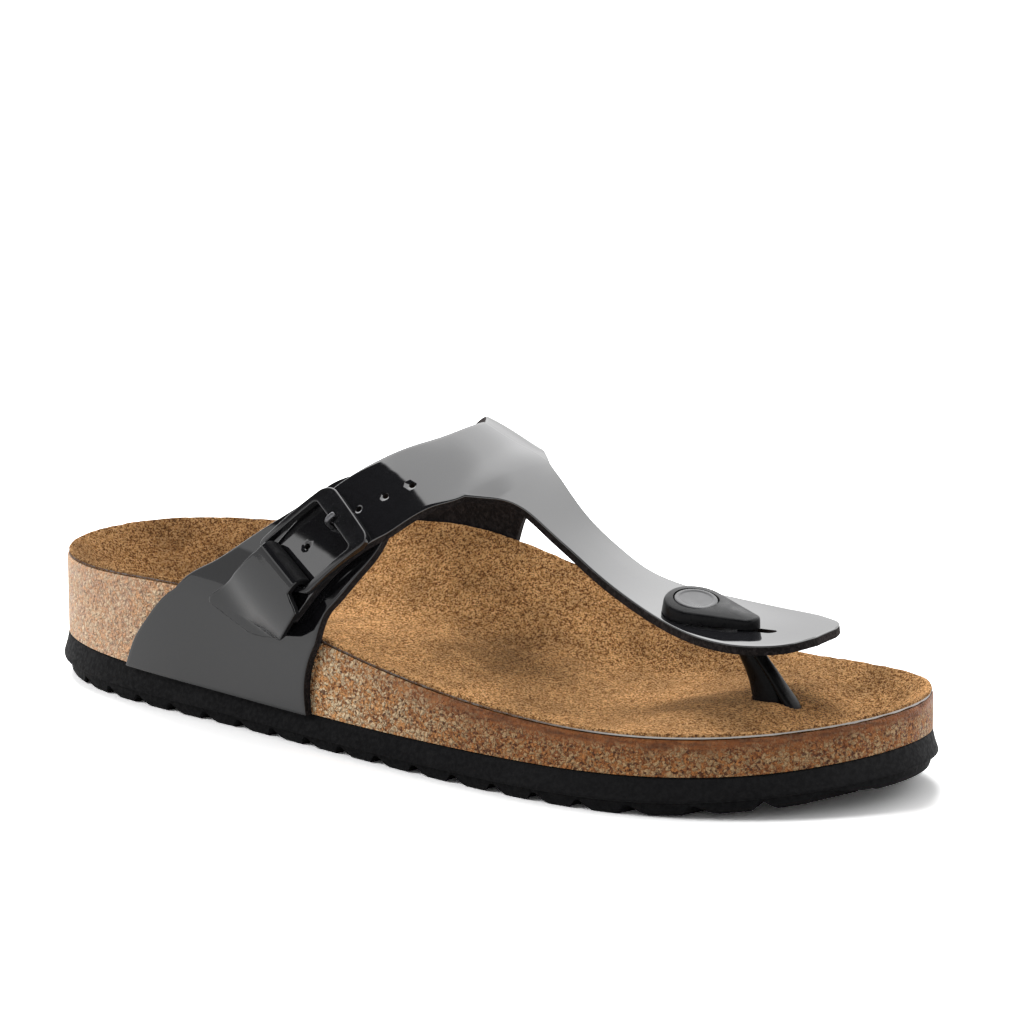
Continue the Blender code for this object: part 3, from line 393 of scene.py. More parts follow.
# Fill light on matt surfaces, then the light of the backdrop and the floor
FILL_FRONT, FILL_BACK, FILL_REACH = 0.34, 0.62, 0.6
BACKDROP_LIGHT, FLOOR_GAIN, FLOOR_BOUNCE = 1.0, 1.7, 0.42
# What gloss mirrors: a wall behind that brightens upward to the ceiling, and a banded side in front
MIRROR_EDGE = 0.012
MIRROR_BACK = -0.09
MIRROR_BACK_LOW, MIRROR_BACK_HIGH, MIRROR_BACK_RISE = 1.05, 4.1, 0.75
MIRROR_CEILING, MIRROR_CEILING_START, MIRROR_CEILING_END = 0.76, 0.90, 0.98
MIRROR_FRONT_ROWS = (
    # sine of the height over the floor where the shade starts, light
    (0.0, 0.9),
    (0.30, 1.85),
    (0.485, 0.02),
)


def size(name):
    """One of the user's sizes, in millimetres."""
    return getattr(bpy.context.scene.sandal_sizes, name) / MM


def colour(name):
    """One of the user's colours."""
    return (*getattr(bpy.context.scene.sandal_colours, name), 1.0)


def grey(light):
    """A light as a grey colour; a node's output stays as it is."""
    return light if isinstance(light, bpy.types.NodeSocket) else (light, light, light, 1.0)


def smooth_through(knots, values, at, closed=False):
    """Rows on the curve of continuous curvature through the given rows."""
    knots = np.asarray(knots, float)
    values = np.asarray(values, float)
    at = np.asarray(at, float)
    step = np.diff(knots)
    slope = np.diff(values, axis=0) / step[:, None]
    count = len(step)
    rows = count if closed else count + 1
    matrix = np.eye(rows)
    right = np.zeros((rows, values.shape[1]))
    for i in range(0 if closed else 1, count):
        matrix[i] = 0.0
        matrix[i, i - 1] += step[i - 1]
        matrix[i, i] += 2.0 * (step[i - 1] + step[i])
        matrix[i, (i + 1) % rows] += step[i]
        right[i] = 6.0 * (slope[i] - slope[i - 1])
    bend = np.linalg.solve(matrix, right)
    if closed:
        bend = np.vstack([bend, bend[:1]])
    i = np.clip(np.searchsorted(knots, at, "right") - 1, 0, count - 1)
    a = ((knots[i + 1] - at) / step[i])[:, None]
    b = 1.0 - a
    square = (step[i] ** 2)[:, None] / 6.0
    return a * values[i] + b * values[i + 1] + ((a**3 - a) * bend[i] + (b**3 - b) * bend[i + 1]) * square


def rows_at(rows, at):
    """Smooth rows of a table with its names left off, at places counted in rows."""
    return smooth_through(range(len(rows)), np.array([row[1:] for row in rows]), at)


def rows_between(rows, steps):
    """The rows of a table with their names left off, and smooth rows put between them."""
    return rows_at(rows, np.linspace(0.0, len(rows) - 1.0, (len(rows) - 1) * steps + 1))


def outline_loop(count):
    """Outline rows round the footbed: heel back, outer side, toe tip, inner side, half on each side."""
    rows = np.array([row[1:] for row in OUTLINE_ROWS])
    tip = [row[0] for row in OUTLINE_ROWS].index("toe tip")
    loop = np.vstack([rows, rows[:1]])
    chord = np.linalg.norm(np.diff(loop[:, :2], axis=0), axis=1) ** OUTLINE_EVENNESS
    knots = np.concatenate([[0.0], np.cumsum(chord)])
    half = count // 2
    outer = np.linspace(0.0, knots[tip], half, endpoint=False)
    inner = np.linspace(knots[tip], knots[-1], half, endpoint=False)
    return smooth_through(knots, loop, np.concatenate([outer, inner]), closed=True)


LOOP = outline_loop(OUTLINE_POINTS)
FINE_LOOP = outline_loop(FINE_POINTS)
OUTER_SIDE = FINE_LOOP[: FINE_POINTS // 2 + 1]
INNER_SIDE = np.vstack([FINE_LOOP[:1], FINE_LOOP[: FINE_POINTS // 2 - 1 : -1]])


def loop_normals(loop):
    """Level unit vectors that point out of an outline that runs anticlockwise."""
    run = np.roll(loop[:, :2], -1, axis=0) - np.roll(loop[:, :2], 1, axis=0)
    normal = np.stack([run[:, 1], -run[:, 0]], axis=1)
    return normal / np.linalg.norm(normal, axis=1)[:, None]


def outset_loop(distance):
    """The footbed's outline moved out by a distance."""
    return LOOP[:, :2] + loop_normals(LOOP) * distance


def floor_height(along):
    """Height of the outsole's underside, with toe spring and the roll of the heel."""
    toe = np.clip((along - TOE_SPRING_START) / (FOOTBED_LENGTH - TOE_SPRING_START), 0.0, None)
    heel = np.clip((HEEL_ROLL_START - along) / HEEL_ROLL_START, 0.0, None)
    return TOE_SPRING * toe**2 + HEEL_ROLL * heel**2


def toward_spine(rim, part):
    """An outline drawn in a part of the way to the foot's mid-line."""
    middle = 0.5 * (rim + np.roll(rim[::-1], 1, axis=0))
    order = np.argsort(middle[:, 0])
    spine_along = np.clip(middle[:, 0], SPINE_HEEL, SPINE_TOE)
    spine = np.stack([spine_along, np.interp(spine_along, middle[order, 0], middle[order, 1])], axis=1)
    return rim + (spine - rim) * part


def joint_rings(outline, heights):
    """Rings from an outline in to the foot's mid-line, where both sides meet at their mean height."""
    rings = []
    for part in SOLE_FLOOR_PARTS:
        level = heights * (1.0 - part) + part * 0.5 * (heights + np.roll(heights[::-1], 1))
        rings.append(np.column_stack([toward_spine(outline, part), level]))
    return rings


def bed_height(along):
    """Heights of the cork on the foot's mid-line."""
    bed = np.array(BED_ROWS)
    return smooth_through(bed[:, 0], bed[:, 1:], along)[:, 0]


def bed_ring(part, inset=INSOLE_INSET):
    """One ring of the footbed's top, a part of the way in from the rim to the foot's mid-line."""
    rim = outset_loop(-inset)
    ring = toward_spine(rim, part)
    inward = np.clip(np.linalg.norm(ring - rim, axis=1) / LOOP[:, 4], 0.0, 1.0)
    level = bed_height(ring[:, 0])
    bank = (1.0 - inward) ** 2 * (1.0 + BANK_FULLNESS * inward)
    return np.column_stack([ring, level + (LOOP[:, 2] - level) * bank])


def last_point(along, girth):
    """Points on the form of the foot."""
    rows = np.array(LAST_ROWS)
    crest = smooth_through(rows[:, 0], rows[:, 1:], along)
    outer = [np.interp(along, OUTER_SIDE[:, 0], OUTER_SIDE[:, k]) for k in (1, 2, 3)]
    inner = [np.interp(along, INNER_SIDE[:, 0], INNER_SIDE[:, k]) for k in (1, 2, 3)]
    side = np.where(girth < 0.0, outer[0] - GAP, inner[0] + GAP)
    rim = np.where(girth < 0.0, outer[1], inner[1])
    foot = np.where(girth < 0.0, outer[2], inner[2]) + GAP
    turn = np.clip(np.abs(girth), 0.0, 1.0) * math.pi / 2.0
    power = 2.0 / crest[:, 2]
    across = crest[:, 0] + (side - crest[:, 0]) * np.sin(turn) ** power
    height = rim + (crest[:, 1] - rim) * np.cos(turn) ** power
    height = height - np.clip(np.abs(girth) - 1.0, 0.0, None) * (rim - foot)
    return np.stack([along, across, height], axis=1)


def last_normal(along, girth):
    """Unit vectors that point out of the form of the foot."""
    near_along, near_girth = 0.2, 0.004
    run = last_point(along + near_along, girth) - last_point(along - near_along, girth)
    turn = last_point(along, girth + near_girth) - last_point(along, girth - near_girth)
    normal = np.cross(run, turn)
    return normal / np.linalg.norm(normal, axis=1)[:, None]


def over_last(along, girth, lift):
    """Points at a height over the form of the foot."""
    along = np.asarray(along, float)
    girth = np.asarray(girth, float)
    lift = np.asarray(lift, float) * np.ones_like(along)
    return last_point(along, girth) + last_normal(along, girth) * lift[:, None]


def patch_place(corners, part_along, part_across):
    """Along and girth over a four-cornered patch: back and front of its outer edge, then of its inner."""
    corner = np.array(corners)
    u = np.asarray(part_along, float)[:, None]
    v = np.asarray(part_across, float)[:, None]
    back = corner[0] * (1.0 - v) + corner[2] * v
    front = corner[1] * (1.0 - v) + corner[3] * v
    return back * (1.0 - u) + front * u


def girth_at(along, across):
    """The girth of points of the toe arm from their place across."""
    rows = np.array(LAST_ROWS)
    crest = smooth_through(rows[:, 0], rows[:, 1:], along)
    outer = np.interp(along, OUTER_SIDE[:, 0], OUTER_SIDE[:, 1]) - GAP
    inner = np.interp(along, INNER_SIDE[:, 0], INNER_SIDE[:, 1]) + GAP
    side = np.where(across < crest[:, 0], outer, inner)
    part = np.clip((across - crest[:, 0]) / (side - crest[:, 0]), 0.0, 1.0)
    turn = np.arcsin(part ** (crest[:, 2] / 2.0)) / (math.pi / 2.0)
    return np.where(across < crest[:, 0], -turn, turn)


def placed(points):
    """Points of the maker's frame, in millimetres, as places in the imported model's frame, in metres."""
    return (np.asarray(points, float) + np.array(ORIGIN)) * MM


def place_key(place):
    """A place rounded, so that a vertex can be looked up by it."""
    return tuple(np.round(place, PLACE_DIGITS))


def set_places(verts, points):
    """Put vertices at points of the maker's frame."""
    for vert, point in zip(verts, placed(points).tolist()):
        vert.co = point


def only(kind, geometry):
    """The elements of one kind in an operator's result."""
    return [item for item in geometry if isinstance(item, kind)]


def grow_row(cage, edges):
    """Extrude a row of edges once; gives the new vertices and the new row of edges."""
    grown = bmesh.ops.extrude_edge_only(cage, edges=edges)["geom"]
    verts = only(bmesh.types.BMVert, grown)
    fresh = set(verts)
    row = [edge for edge in only(bmesh.types.BMEdge, grown) if fresh.issuperset(edge.verts)]
    return verts, row


def loft(cage, rings, around=False):
    """A shell through rings of equal size; an end on a line or point closes, or the last meets the first."""
    place = cage.verts.layers.int.get("place") or cage.verts.layers.int.new("place")
    verts = bmesh.ops.create_circle(cage, cap_ends=False, segments=len(rings[0]), radius=1.0)["verts"]
    edges = list({edge for vert in verts for edge in vert.link_edges})
    made = list(verts)
    for index, vert in enumerate(verts):
        vert[place] = index
    set_places(verts, rings[0])
    for ring in list(rings[1:]) + ([rings[0]] if around else []):
        verts, edges = grow_row(cage, edges)
        set_places(verts, np.asarray(ring)[[vert[place] for vert in verts]])
        made += verts
    bmesh.ops.remove_doubles(cage, verts=made, dist=MM * MM)
    faces = list({face for vert in made if vert.is_valid for face in vert.link_faces})
    bmesh.ops.recalc_face_normals(cage, faces=faces)
    return cage


def flat_end(ring, parts=(0.6, 0.0)):
    """Rings that close a ring's end on its middle."""
    middle = np.mean(ring, axis=0)
    return [middle + (ring - middle) * part for part in parts]


def new_piece(name, cage, materials):
    """An object at the origin from a finished cage."""
    mesh = bpy.data.meshes.new(name)
    cage.to_mesh(mesh)
    cage.free()
    for material in materials:
        mesh.materials.append(material)
    thing = bpy.data.objects.new(name, mesh)
    bpy.context.scene.collection.objects.link(thing)
    soften(thing)
    return thing


def soften(thing):
    """Smooth shading with sharp creases kept."""
    thing.data.shade_smooth()
    thing.data.set_sharp_from_angle(angle=math.radians(SHARP_DEGREES))


def shape_with(thing, others, operation):
    """Cut other objects out of a piece or join them to it; the others are used up."""
    for other in others:
        step = thing.modifiers.new(other.name, "BOOLEAN")
        step.operation = operation
        step.solver = "EXACT"
        step.object = other
    graph = bpy.context.evaluated_depsgraph_get()
    shaped = bpy.data.meshes.new_from_object(thing.evaluated_get(graph))
    thing.modifiers.clear()
    worn = thing.data
    thing.data = shaped
    bpy.data.meshes.remove(worn)
    shaped.name = thing.name
    for other in others:
        mesh = other.data
        bpy.data.objects.remove(other, do_unlink=True)
        bpy.data.meshes.remove(mesh)
    soften(thing)


def hand_over(thing, slot, *nodes):
    """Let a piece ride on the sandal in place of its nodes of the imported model."""
    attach(thing, "root")
    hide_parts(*nodes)


def oval(length, width, count):
    """Points round an oval with half-round ends, long way along."""
    turn = np.linspace(-math.pi / 2.0, math.pi / 2.0, count // 2)
    reach = (length - width) / 2.0
    front = np.stack([reach + np.cos(turn) * width / 2.0, np.sin(turn) * width / 2.0], axis=1)
    return np.vstack([front, -front])


def level_ring(outline, height):
    """An outline as a ring at one height."""
    return np.column_stack([outline, np.full(len(outline), height)])


def prism(name, outline, low, high, material_index=0):
    """A straight-sided body on a level outline, for cutting or joining."""
    bottom, top = level_ring(outline, low), level_ring(outline, high)
    cage = loft(bmesh.new(), flat_end(bottom)[::-1] + [bottom, top] + flat_end(top))
    for face in cage.faces:
        face.material_index = material_index
    return new_piece(name, cage, [])


def strap_layers(cage):
    """The vertex layers that hold a strap's place on the form of the foot."""
    return [cage.verts.layers.float.new(name) for name in ("along", "girth", "lift")]


def mark_places(verts, layers, places):
    """Write places on the form of the foot to a strap's vertices."""
    for vert, place in zip(verts, np.asarray(places).tolist()):
        for layer, value in zip(layers, place):
            vert[layer] = value


def stand_on_last(verts, layers, height):
    """Put a strap's vertices at a height over their places on the form of the foot."""
    along, girth, lift = np.array([[vert[layer] for layer in layers] for vert in verts]).T
    set_places(verts, over_last(along, girth, lift + height))


def grid_parts(verts):
    """Parts along and across of a new grid's vertices, from 0 to 1."""
    places = np.array([vert.co[:2] for vert in verts])
    low, high = places.min(axis=0), places.max(axis=0)
    return ((places - low) / (high - low)).T


def band_places(rows, part, lift):
    """Places on the form of the foot, a part of the way from a strap's back edge to its front edge."""
    edges = rows[:, 0:2] * (1.0 - part)[:, None] + rows[:, 2:4] * part[:, None]
    return np.column_stack([edges, lift])


def thicken_strap(cage, layers, thick, edge_round, folded=False):
    """Give a strap its wall: a coated top over a bare back and cut edge, with the top's edge rounded."""
    stand_on_last(cage.verts[:], layers, 0.0)
    cage.normal_update()
    facing = {tuple(vert[layer] for layer in layers): vert.normal.copy() for vert in cage.verts}
    grown = bmesh.ops.extrude_face_region(cage, geom=cage.verts[:] + cage.edges[:] + cage.faces[:],
                                          use_keep_orig=True)["geom"]
    over = only(bmesh.types.BMVert, grown)
    top = set(only(bmesh.types.BMFace, grown))
    if folded:
        flat = min(facing, key=lambda place: place[-1])
        out = Vector(last_normal(np.array(flat[:1]), np.array(flat[1:2]))[0].tolist())
        reach = math.copysign(thick * MM, facing[flat].dot(out))
        for vert in over:
            vert.co += facing[tuple(vert[layer] for layer in layers)] * reach
    else:
        stand_on_last(over, layers, thick)
    for face in cage.faces:
        face.material_index = 0 if face in top else 1
    bmesh.ops.recalc_face_normals(cage, faces=cage.faces)
    rim = [edge for edge in cage.edges if sum(face in top for face in edge.link_faces) == 1]
    turned = bmesh.ops.bevel(cage, geom=rim, offset=edge_round * MM, offset_type="OFFSET", affect="EDGES",
                             segments=EDGE_STEPS, profile=0.5, material=-1)
    for face in turned["faces"]:
        face.material_index = 0


def add_node(tree, kind, inputs=None, **settings):
    """A shader node with its settings; an input is a value or another node's output."""
    node = tree.nodes.new(kind)
    for key, value in settings.items():
        setattr(node, key, value)
    for key, value in (inputs or {}).items():
        if isinstance(value, bpy.types.NodeSocket):
            tree.links.new(value, node.inputs[key])
        else:
            node.inputs[key].default_value = value
    return node


def ramp(tree, value, stops):
    """A colour ramp over a value; stops are places and names of colours."""
    node = add_node(tree, "ShaderNodeValToRGB", {"Fac": value})
    places = node.color_ramp.elements
    while len(places) < len(stops):
        places.new(1.0)
    for element, (place, shade) in zip(places, stops):
        element.position = place
        element.color = colour(shade)
    return node.outputs["Color"]


def math_node(tree, operation, first, second):
    """The result of one operation on two values."""
    return add_node(tree, "ShaderNodeMath", {0: first, 1: second}, operation=operation).outputs[0]


def between(tree, value, low, high, start=0.0, end=1.0):
    """A value carried smoothly from one range to another."""
    node = add_node(tree, "ShaderNodeMapRange", {"Value": value, "From Min": low, "From Max": high,
                                                 "To Min": start, "To Max": end},
                    interpolation_type="SMOOTHSTEP")
    return node.outputs["Result"]


def blend(tree, part, first, second, way="MIX"):
    """Two colours mixed."""
    inputs = dict(zip(MIX_INPUTS, (part, first, second)))
    return add_node(tree, "ShaderNodeMix", inputs, data_type="RGBA", blend_type=way).outputs[MIX_OUTPUT]


def effect_group(name, inputs, outputs):
    """An empty shader node group with named sockets, with its inner ends."""
    tree = bpy.data.node_groups.new(name, "ShaderNodeTree")
    for label, value in inputs:
        socket = tree.interface.new_socket(label, in_out="INPUT", socket_type="NodeSocketFloat")
        socket.default_value = value
    for label in outputs:
        tree.interface.new_socket(label, in_out="OUTPUT", socket_type="NodeSocketFloat")
    return tree, tree.nodes.new("NodeGroupInput").outputs, tree.nodes.new("NodeGroupOutput").inputs


def object_place(tree):
    """Places on the object, moved off the origin where the noises' cells would line up."""
    place = add_node(tree, "ShaderNodeTexCoord").outputs["Object"]
    return add_node(tree, "ShaderNodeVectorMath", {0: place, 1: NOISE_SHIFT}, operation="ADD").outputs[0]


def object_along(tree):
    """Places along the object, in metres from its origin."""
    place = add_node(tree, "ShaderNodeTexCoord").outputs["Object"]
    return add_node(tree, "ShaderNodeSeparateXYZ", {0: place}).outputs["X"]


def grain_group():
    """Two scales of soft grain: a coarse value, a fine value and their sum."""
    name = "sandal_grain"
    if name in bpy.data.node_groups:
        return bpy.data.node_groups[name]
    tree, given, out = effect_group(name, (("Scale", 500.0), ("Fineness", 3.0), ("Share", 0.5)),
                                    ("Coarse", "Fine", "Height"))
    place = object_place(tree)
    coarse = add_node(tree, "ShaderNodeTexNoise", {"Vector": place, "Scale": given["Scale"], "Detail": 3.0})
    finer = math_node(tree, "MULTIPLY", given["Scale"], given["Fineness"])
    fine = add_node(tree, "ShaderNodeTexNoise", {"Vector": place, "Scale": finer, "Detail": 2.0})
    rest = math_node(tree, "SUBTRACT", 1.0, given["Share"])
    height = math_node(tree, "ADD", math_node(tree, "MULTIPLY", coarse.outputs["Fac"], rest),
                       math_node(tree, "MULTIPLY", fine.outputs["Fac"], given["Share"]))
    tree.links.new(coarse.outputs["Fac"], out["Coarse"])
    tree.links.new(fine.outputs["Fac"], out["Fine"])
    tree.links.new(height, out["Height"])
    return tree


def fleck_group():
    """Irregular flecks: a random value for each fleck, and how far inside its edge a point is."""
    name = "sandal_flecks"
    if name in bpy.data.node_groups:
        return bpy.data.node_groups[name]
    tree, given, out = effect_group(name, (("Scale", 600.0), ("Warp", 0.0006)), ("Random", "Inside"))
    place = object_place(tree)
    wander = add_node(tree, "ShaderNodeTexNoise", {"Vector": place, "Scale": given["Scale"], "Detail": 2.0})
    centred = add_node(tree, "ShaderNodeVectorMath", {0: wander.outputs["Color"], 1: (0.5, 0.5, 0.5)},
                       operation="SUBTRACT")
    shift = add_node(tree, "ShaderNodeVectorMath", {0: centred.outputs[0], "Scale": given["Warp"]},
                     operation="SCALE")
    warped = add_node(tree, "ShaderNodeVectorMath", {0: place, 1: shift.outputs[0]}, operation="ADD")
    inputs = {"Vector": warped.outputs[0], "Scale": given["Scale"]}
    cell = add_node(tree, "ShaderNodeTexVoronoi", inputs)
    edge = add_node(tree, "ShaderNodeTexVoronoi", inputs, feature="DISTANCE_TO_EDGE")
    tree.links.new(add_node(tree, "ShaderNodeSeparateColor", {0: cell.outputs["Color"]}).outputs[0],
                   out["Random"])
    tree.links.new(edge.outputs["Distance"], out["Inside"])
    return tree


def place_group(tree, group, **inputs):
    """A shader node group in a material with its own values."""
    return add_node(tree, "ShaderNodeGroup", inputs, node_tree=group).outputs


def new_material(name, **sockets):
    """A material with constant values on its shader's sockets, with its tree and its shader."""
    material = bpy.data.materials.new(name)
    material.use_nodes = True
    tree = material.node_tree
    shader = tree.nodes["Principled BSDF"]
    for key, value in sockets.items():
        shader.inputs[key.replace("_", " ")].default_value = value
    return material, tree, shader


def relief(tree, shader, height, depth, under=None):
    """A bump of a depth in millimetres on a shader's normal, over another bump where one is given."""
    inputs = {"Height": height, "Distance": depth * MM, "Strength": 1.0}
    if under is not None:
        inputs["Normal"] = under
    normal = add_node(tree, "ShaderNodeBump", inputs).outputs["Normal"]
    tree.links.new(normal, shader.inputs["Normal"])
    return normal


def paint(tree, shader, **links):
    """Link changing colours and values to a shader's sockets."""
    for key, value in links.items():
        tree.links.new(value, shader.inputs[key.replace("_", " ")])


def patent_material(piece):
    """Black patent leather of one piece: a mirror film with slow waves, fine crumpling and faint haze."""
    wave, crumple, film = PATENT_ROWS[piece]
    material, tree, shader = new_material("patent_" + piece, IOR=film)
    grain = place_group(tree, grain_group(), Scale=70.0, Fineness=9.0, Share=0.12)
    haze = between(tree, grain["Coarse"], *COARSE_RANGE, *PATENT_ROUGH)
    tint = blend(tree, grain["Fine"], colour("patent"), colour("patent_haze"))
    paint(tree, shader, Base_Color=tint, Roughness=haze)
    slow = relief(tree, shader, grain["Coarse"], wave)
    relief(tree, shader, grain["Fine"], crumple, slow)
    return material


def felt_material():
    """Black felt on the straps' backs and cut edges."""
    material, tree, shader = new_material("felt", Roughness=1.0, Specular_IOR_Level=0.1, Sheen_Weight=0.25,
                                          Sheen_Roughness=0.6, Sheen_Tint=(0.25, 0.22, 0.22, 1.0))
    grain = place_group(tree, grain_group(), Scale=900.0, Fineness=3.0, Share=0.5)
    fleck = place_group(tree, fleck_group(), Scale=1400.0, Warp=0.0006)
    shade = between(tree, math_node(tree, "MULTIPLY", grain["Height"], fleck["Random"]), *FELT_RANGE)
    paint(tree, shader, Base_Color=blend(tree, shade, colour("felt"), colour("felt_light")))
    relief(tree, shader, grain["Height"], FELT_DEPTH)
    return material


def granule_tint(tree, big, small, grain):
    """Colours of the pressed granules: tan and brown, with pale ones, crumbs and bark, and painted shade in
    the crevices between them.
    """
    tint = ramp(tree, grain["Height"], GRANULE_STOPS)
    chance = math_node(tree, "ADD", big["Random"], math_node(tree, "MULTIPLY", grain["Fine"], PALE_GRAIN))
    pale = math_node(tree, "MULTIPLY", between(tree, chance, *PALE_CHANCE),
                     between(tree, big["Inside"], *PALE_INSIDE))
    crumb = math_node(tree, "MULTIPLY", between(tree, small["Random"], *CRUMB_CHANCE, 0.0, CRUMB_CAST),
                      between(tree, small["Inside"], *CRUMB_INSIDE))
    bark = between(tree, small["Random"], *BARK_CHANCE, BARK_CAST, 0.0)
    for part, shade in ((pale, "cork_light"), (crumb, "cork_light"), (bark, "cork_dark")):
        tint = blend(tree, part, tint, colour(shade))
    # Painted shade darkening the crevices between the granules
    painted_crevice_shade = between(tree, big["Inside"], 0.0, CREVICE_INSIDE, CREVICE_SHADE, 1.0)
    return blend(tree, 1.0, tint, painted_crevice_shade, "MULTIPLY")


def streaked_brown(tree):
    """Dark and brown streaks along the smooth upper part of the forefoot's wall."""
    place = add_node(tree, "ShaderNodeMapping", {"Vector": object_place(tree), "Scale": STREAK_STRETCH})
    streak = add_node(tree, "ShaderNodeTexNoise", {"Vector": place.outputs[0], "Scale": STREAK_SCALE,
                                                   "Detail": 4.0})
    return ramp(tree, streak.outputs["Fac"], STREAK_STOPS)


def cork_material():
    """Pressed cork under a thin sealing coat, smoother at the forefoot, with painted light paling the heel
    and painted shade darkening the forefoot.
    """
    material, tree, shader = new_material("cork", Coat_Weight=0.1, Coat_Roughness=0.25,
                                          Specular_IOR_Level=0.15)
    scale = 1.0 / bpy.context.scene.sandal_sizes.granule
    big = place_group(tree, fleck_group(), Scale=scale, Warp=0.0017)
    small = place_group(tree, fleck_group(), Scale=scale * SMALL_GRANULES, Warp=0.0009)
    grain = place_group(tree, grain_group(), Scale=300.0, Fineness=4.0, Share=0.5)
    along = object_along(tree)
    front = between(tree, along, *FRONT_CORK)
    wall = add_node(tree, "ShaderNodeAttribute", attribute_name="wall").outputs["Fac"]
    climb = math_node(tree, "ADD", wall, math_node(tree, "MULTIPLY", grain["Coarse"], BAND_RAGGED))
    band = math_node(tree, "MULTIPLY", between(tree, climb, *BAND_CLIMB),
                     between(tree, front, 0.0, 1.0, *BAND_CAST))
    tint = granule_tint(tree, big, small, grain)
    # Painted light: the heel's cork made paler and rosier
    tint = blend(tree, between(tree, along, *HEEL_CORK_PAINTED_LIGHT, HEEL_CORK_LIGHT_STRENGTH, 0.0), tint, colour("cork_heel_painted_light"))
    tint = blend(tree, band, tint, streaked_brown(tree))
    # Painted shade: the forefoot's cork darkened
    tint = blend(tree, front, tint, blend(tree, 1.0, tint, colour("cork_painted_shade"), "MULTIPLY"))
    rough = between(tree, grain["Coarse"], *COARSE_RANGE, *CORK_ROUGH)
    paint(tree, shader, Base_Color=tint, Roughness=rough)
    pebble = between(tree, big["Inside"], 0.0, PEBBLE_INSIDE)
    bumps = math_node(tree, "ADD", pebble, math_node(tree, "MULTIPLY", grain["Height"], PEBBLE_GRAIN))
    lumps = math_node(tree, "MULTIPLY", bumps, between(tree, band, 0.0, 1.0, 1.0, BAND_SMOOTH))
    rounded = relief(tree, shader, lumps, PEBBLE_DEPTH)
    relief(tree, shader, small["Random"], CRUMB_DEPTH, rounded)
    return material


def suede_material():
    """Tan suede with a coarse granular nap and dark gaps, and painted shade darkening it toward the heel."""
    material, tree, shader = new_material("suede", Roughness=0.95, Specular_IOR_Level=0.1, Sheen_Weight=0.12,
                                          Sheen_Roughness=0.5, Sheen_Tint=(0.80, 0.55, 0.32, 1.0))
    nap = place_group(tree, grain_group(), Scale=2300.0, Fineness=1.8, Share=0.45)
    fleck = place_group(tree, fleck_group(), Scale=2600.0, Warp=0.0005)
    patch = place_group(tree, grain_group(), Scale=26.0, Fineness=4.0, Share=0.4)
    tone = math_node(tree, "ADD", math_node(tree, "MULTIPLY", nap["Height"], NAP_SHARE),
                     math_node(tree, "MULTIPLY", fleck["Random"], FLECK_SHARE))
    cast = between(tree, patch["Height"], *PATCH_RANGE, *PATCH_CAST)
    # Painted shade: the suede darkened toward the heel
    heel = between(tree, object_along(tree), *HEEL_SUEDE, HEEL_SHADE, 1.0)
    light = math_node(tree, "MULTIPLY", cast, heel)
    paint(tree, shader, Base_Color=blend(tree, 1.0, ramp(tree, tone, SUEDE_STOPS), light, "MULTIPLY"))
    brushed = relief(tree, shader, nap["Height"], NAP_DEPTH)
    relief(tree, shader, fleck["Random"], FLECK_DEPTH, brushed)
    return material


def backing_material():
    """Grey fabric under the suede, seen as a fine line at its cut edge, barer and paler toward the toe."""
    material, tree, shader = new_material("fabric_backing", Roughness=0.9, Specular_IOR_Level=0.2)
    grain = place_group(tree, grain_group(), Scale=900.0, Fineness=2.0, Share=0.5)
    weave = between(tree, grain["Height"], *HEIGHT_RANGE)
    dark = blend(tree, weave, colour("suede_dark"), colour("backing"))
    bare = between(tree, object_along(tree), *BARE_BACKING)
    paint(tree, shader, Base_Color=blend(tree, bare, dark, colour("backing_pale")))
    return material


def foam_material():
    """Black foam rubber with fine pores."""
    material, tree, shader = new_material("foam_rubber", Specular_IOR_Level=0.12)
    grain = place_group(tree, grain_group(), Scale=900.0, Fineness=2.5, Share=0.5)
    patch = place_group(tree, grain_group(), Scale=40.0, Fineness=5.0, Share=0.3)
    dust = between(tree, patch["Height"], *COARSE_RANGE)
    tint = blend(tree, dust, colour("rubber"), colour("rubber_dust"))
    rough = between(tree, grain["Coarse"], *COARSE_RANGE, *FOAM_ROUGH)
    paint(tree, shader, Base_Color=tint, Roughness=rough)
    relief(tree, shader, grain["Height"], FOAM_DEPTH)
    return material


def satin_material(name):
    """A satin surface with faint grain, for the tab's lining, the post, the button and the metal parts."""
    shade, dusty, rough_low, rough_high, metallic, depth, gloss = SATIN_ROWS[name]
    material, tree, shader = new_material(name, Metallic=metallic, Specular_IOR_Level=gloss)
    grain = place_group(tree, grain_group(), Scale=420.0, Fineness=4.0, Share=0.5)
    tint = blend(tree, between(tree, grain["Height"], *HEIGHT_RANGE), colour(shade), colour(dusty))
    rough = between(tree, grain["Coarse"], *COARSE_RANGE, rough_low, rough_high)
    paint(tree, shader, Base_Color=tint, Roughness=rough)
    relief(tree, shader, grain["Height"], depth)
    return material


def length_property(label, words, default):
    """A size that a user may change, in metres."""
    return FloatProperty(name=label, description=words, default=default * MM, min=0.0, unit="LENGTH",
                         subtype="DISTANCE")


def colour_property(label, words, default):
    """A colour that a user may change."""
    return FloatVectorProperty(name=label, description=words, default=default, min=0.0, max=1.0, size=3,
                               subtype="COLOR")


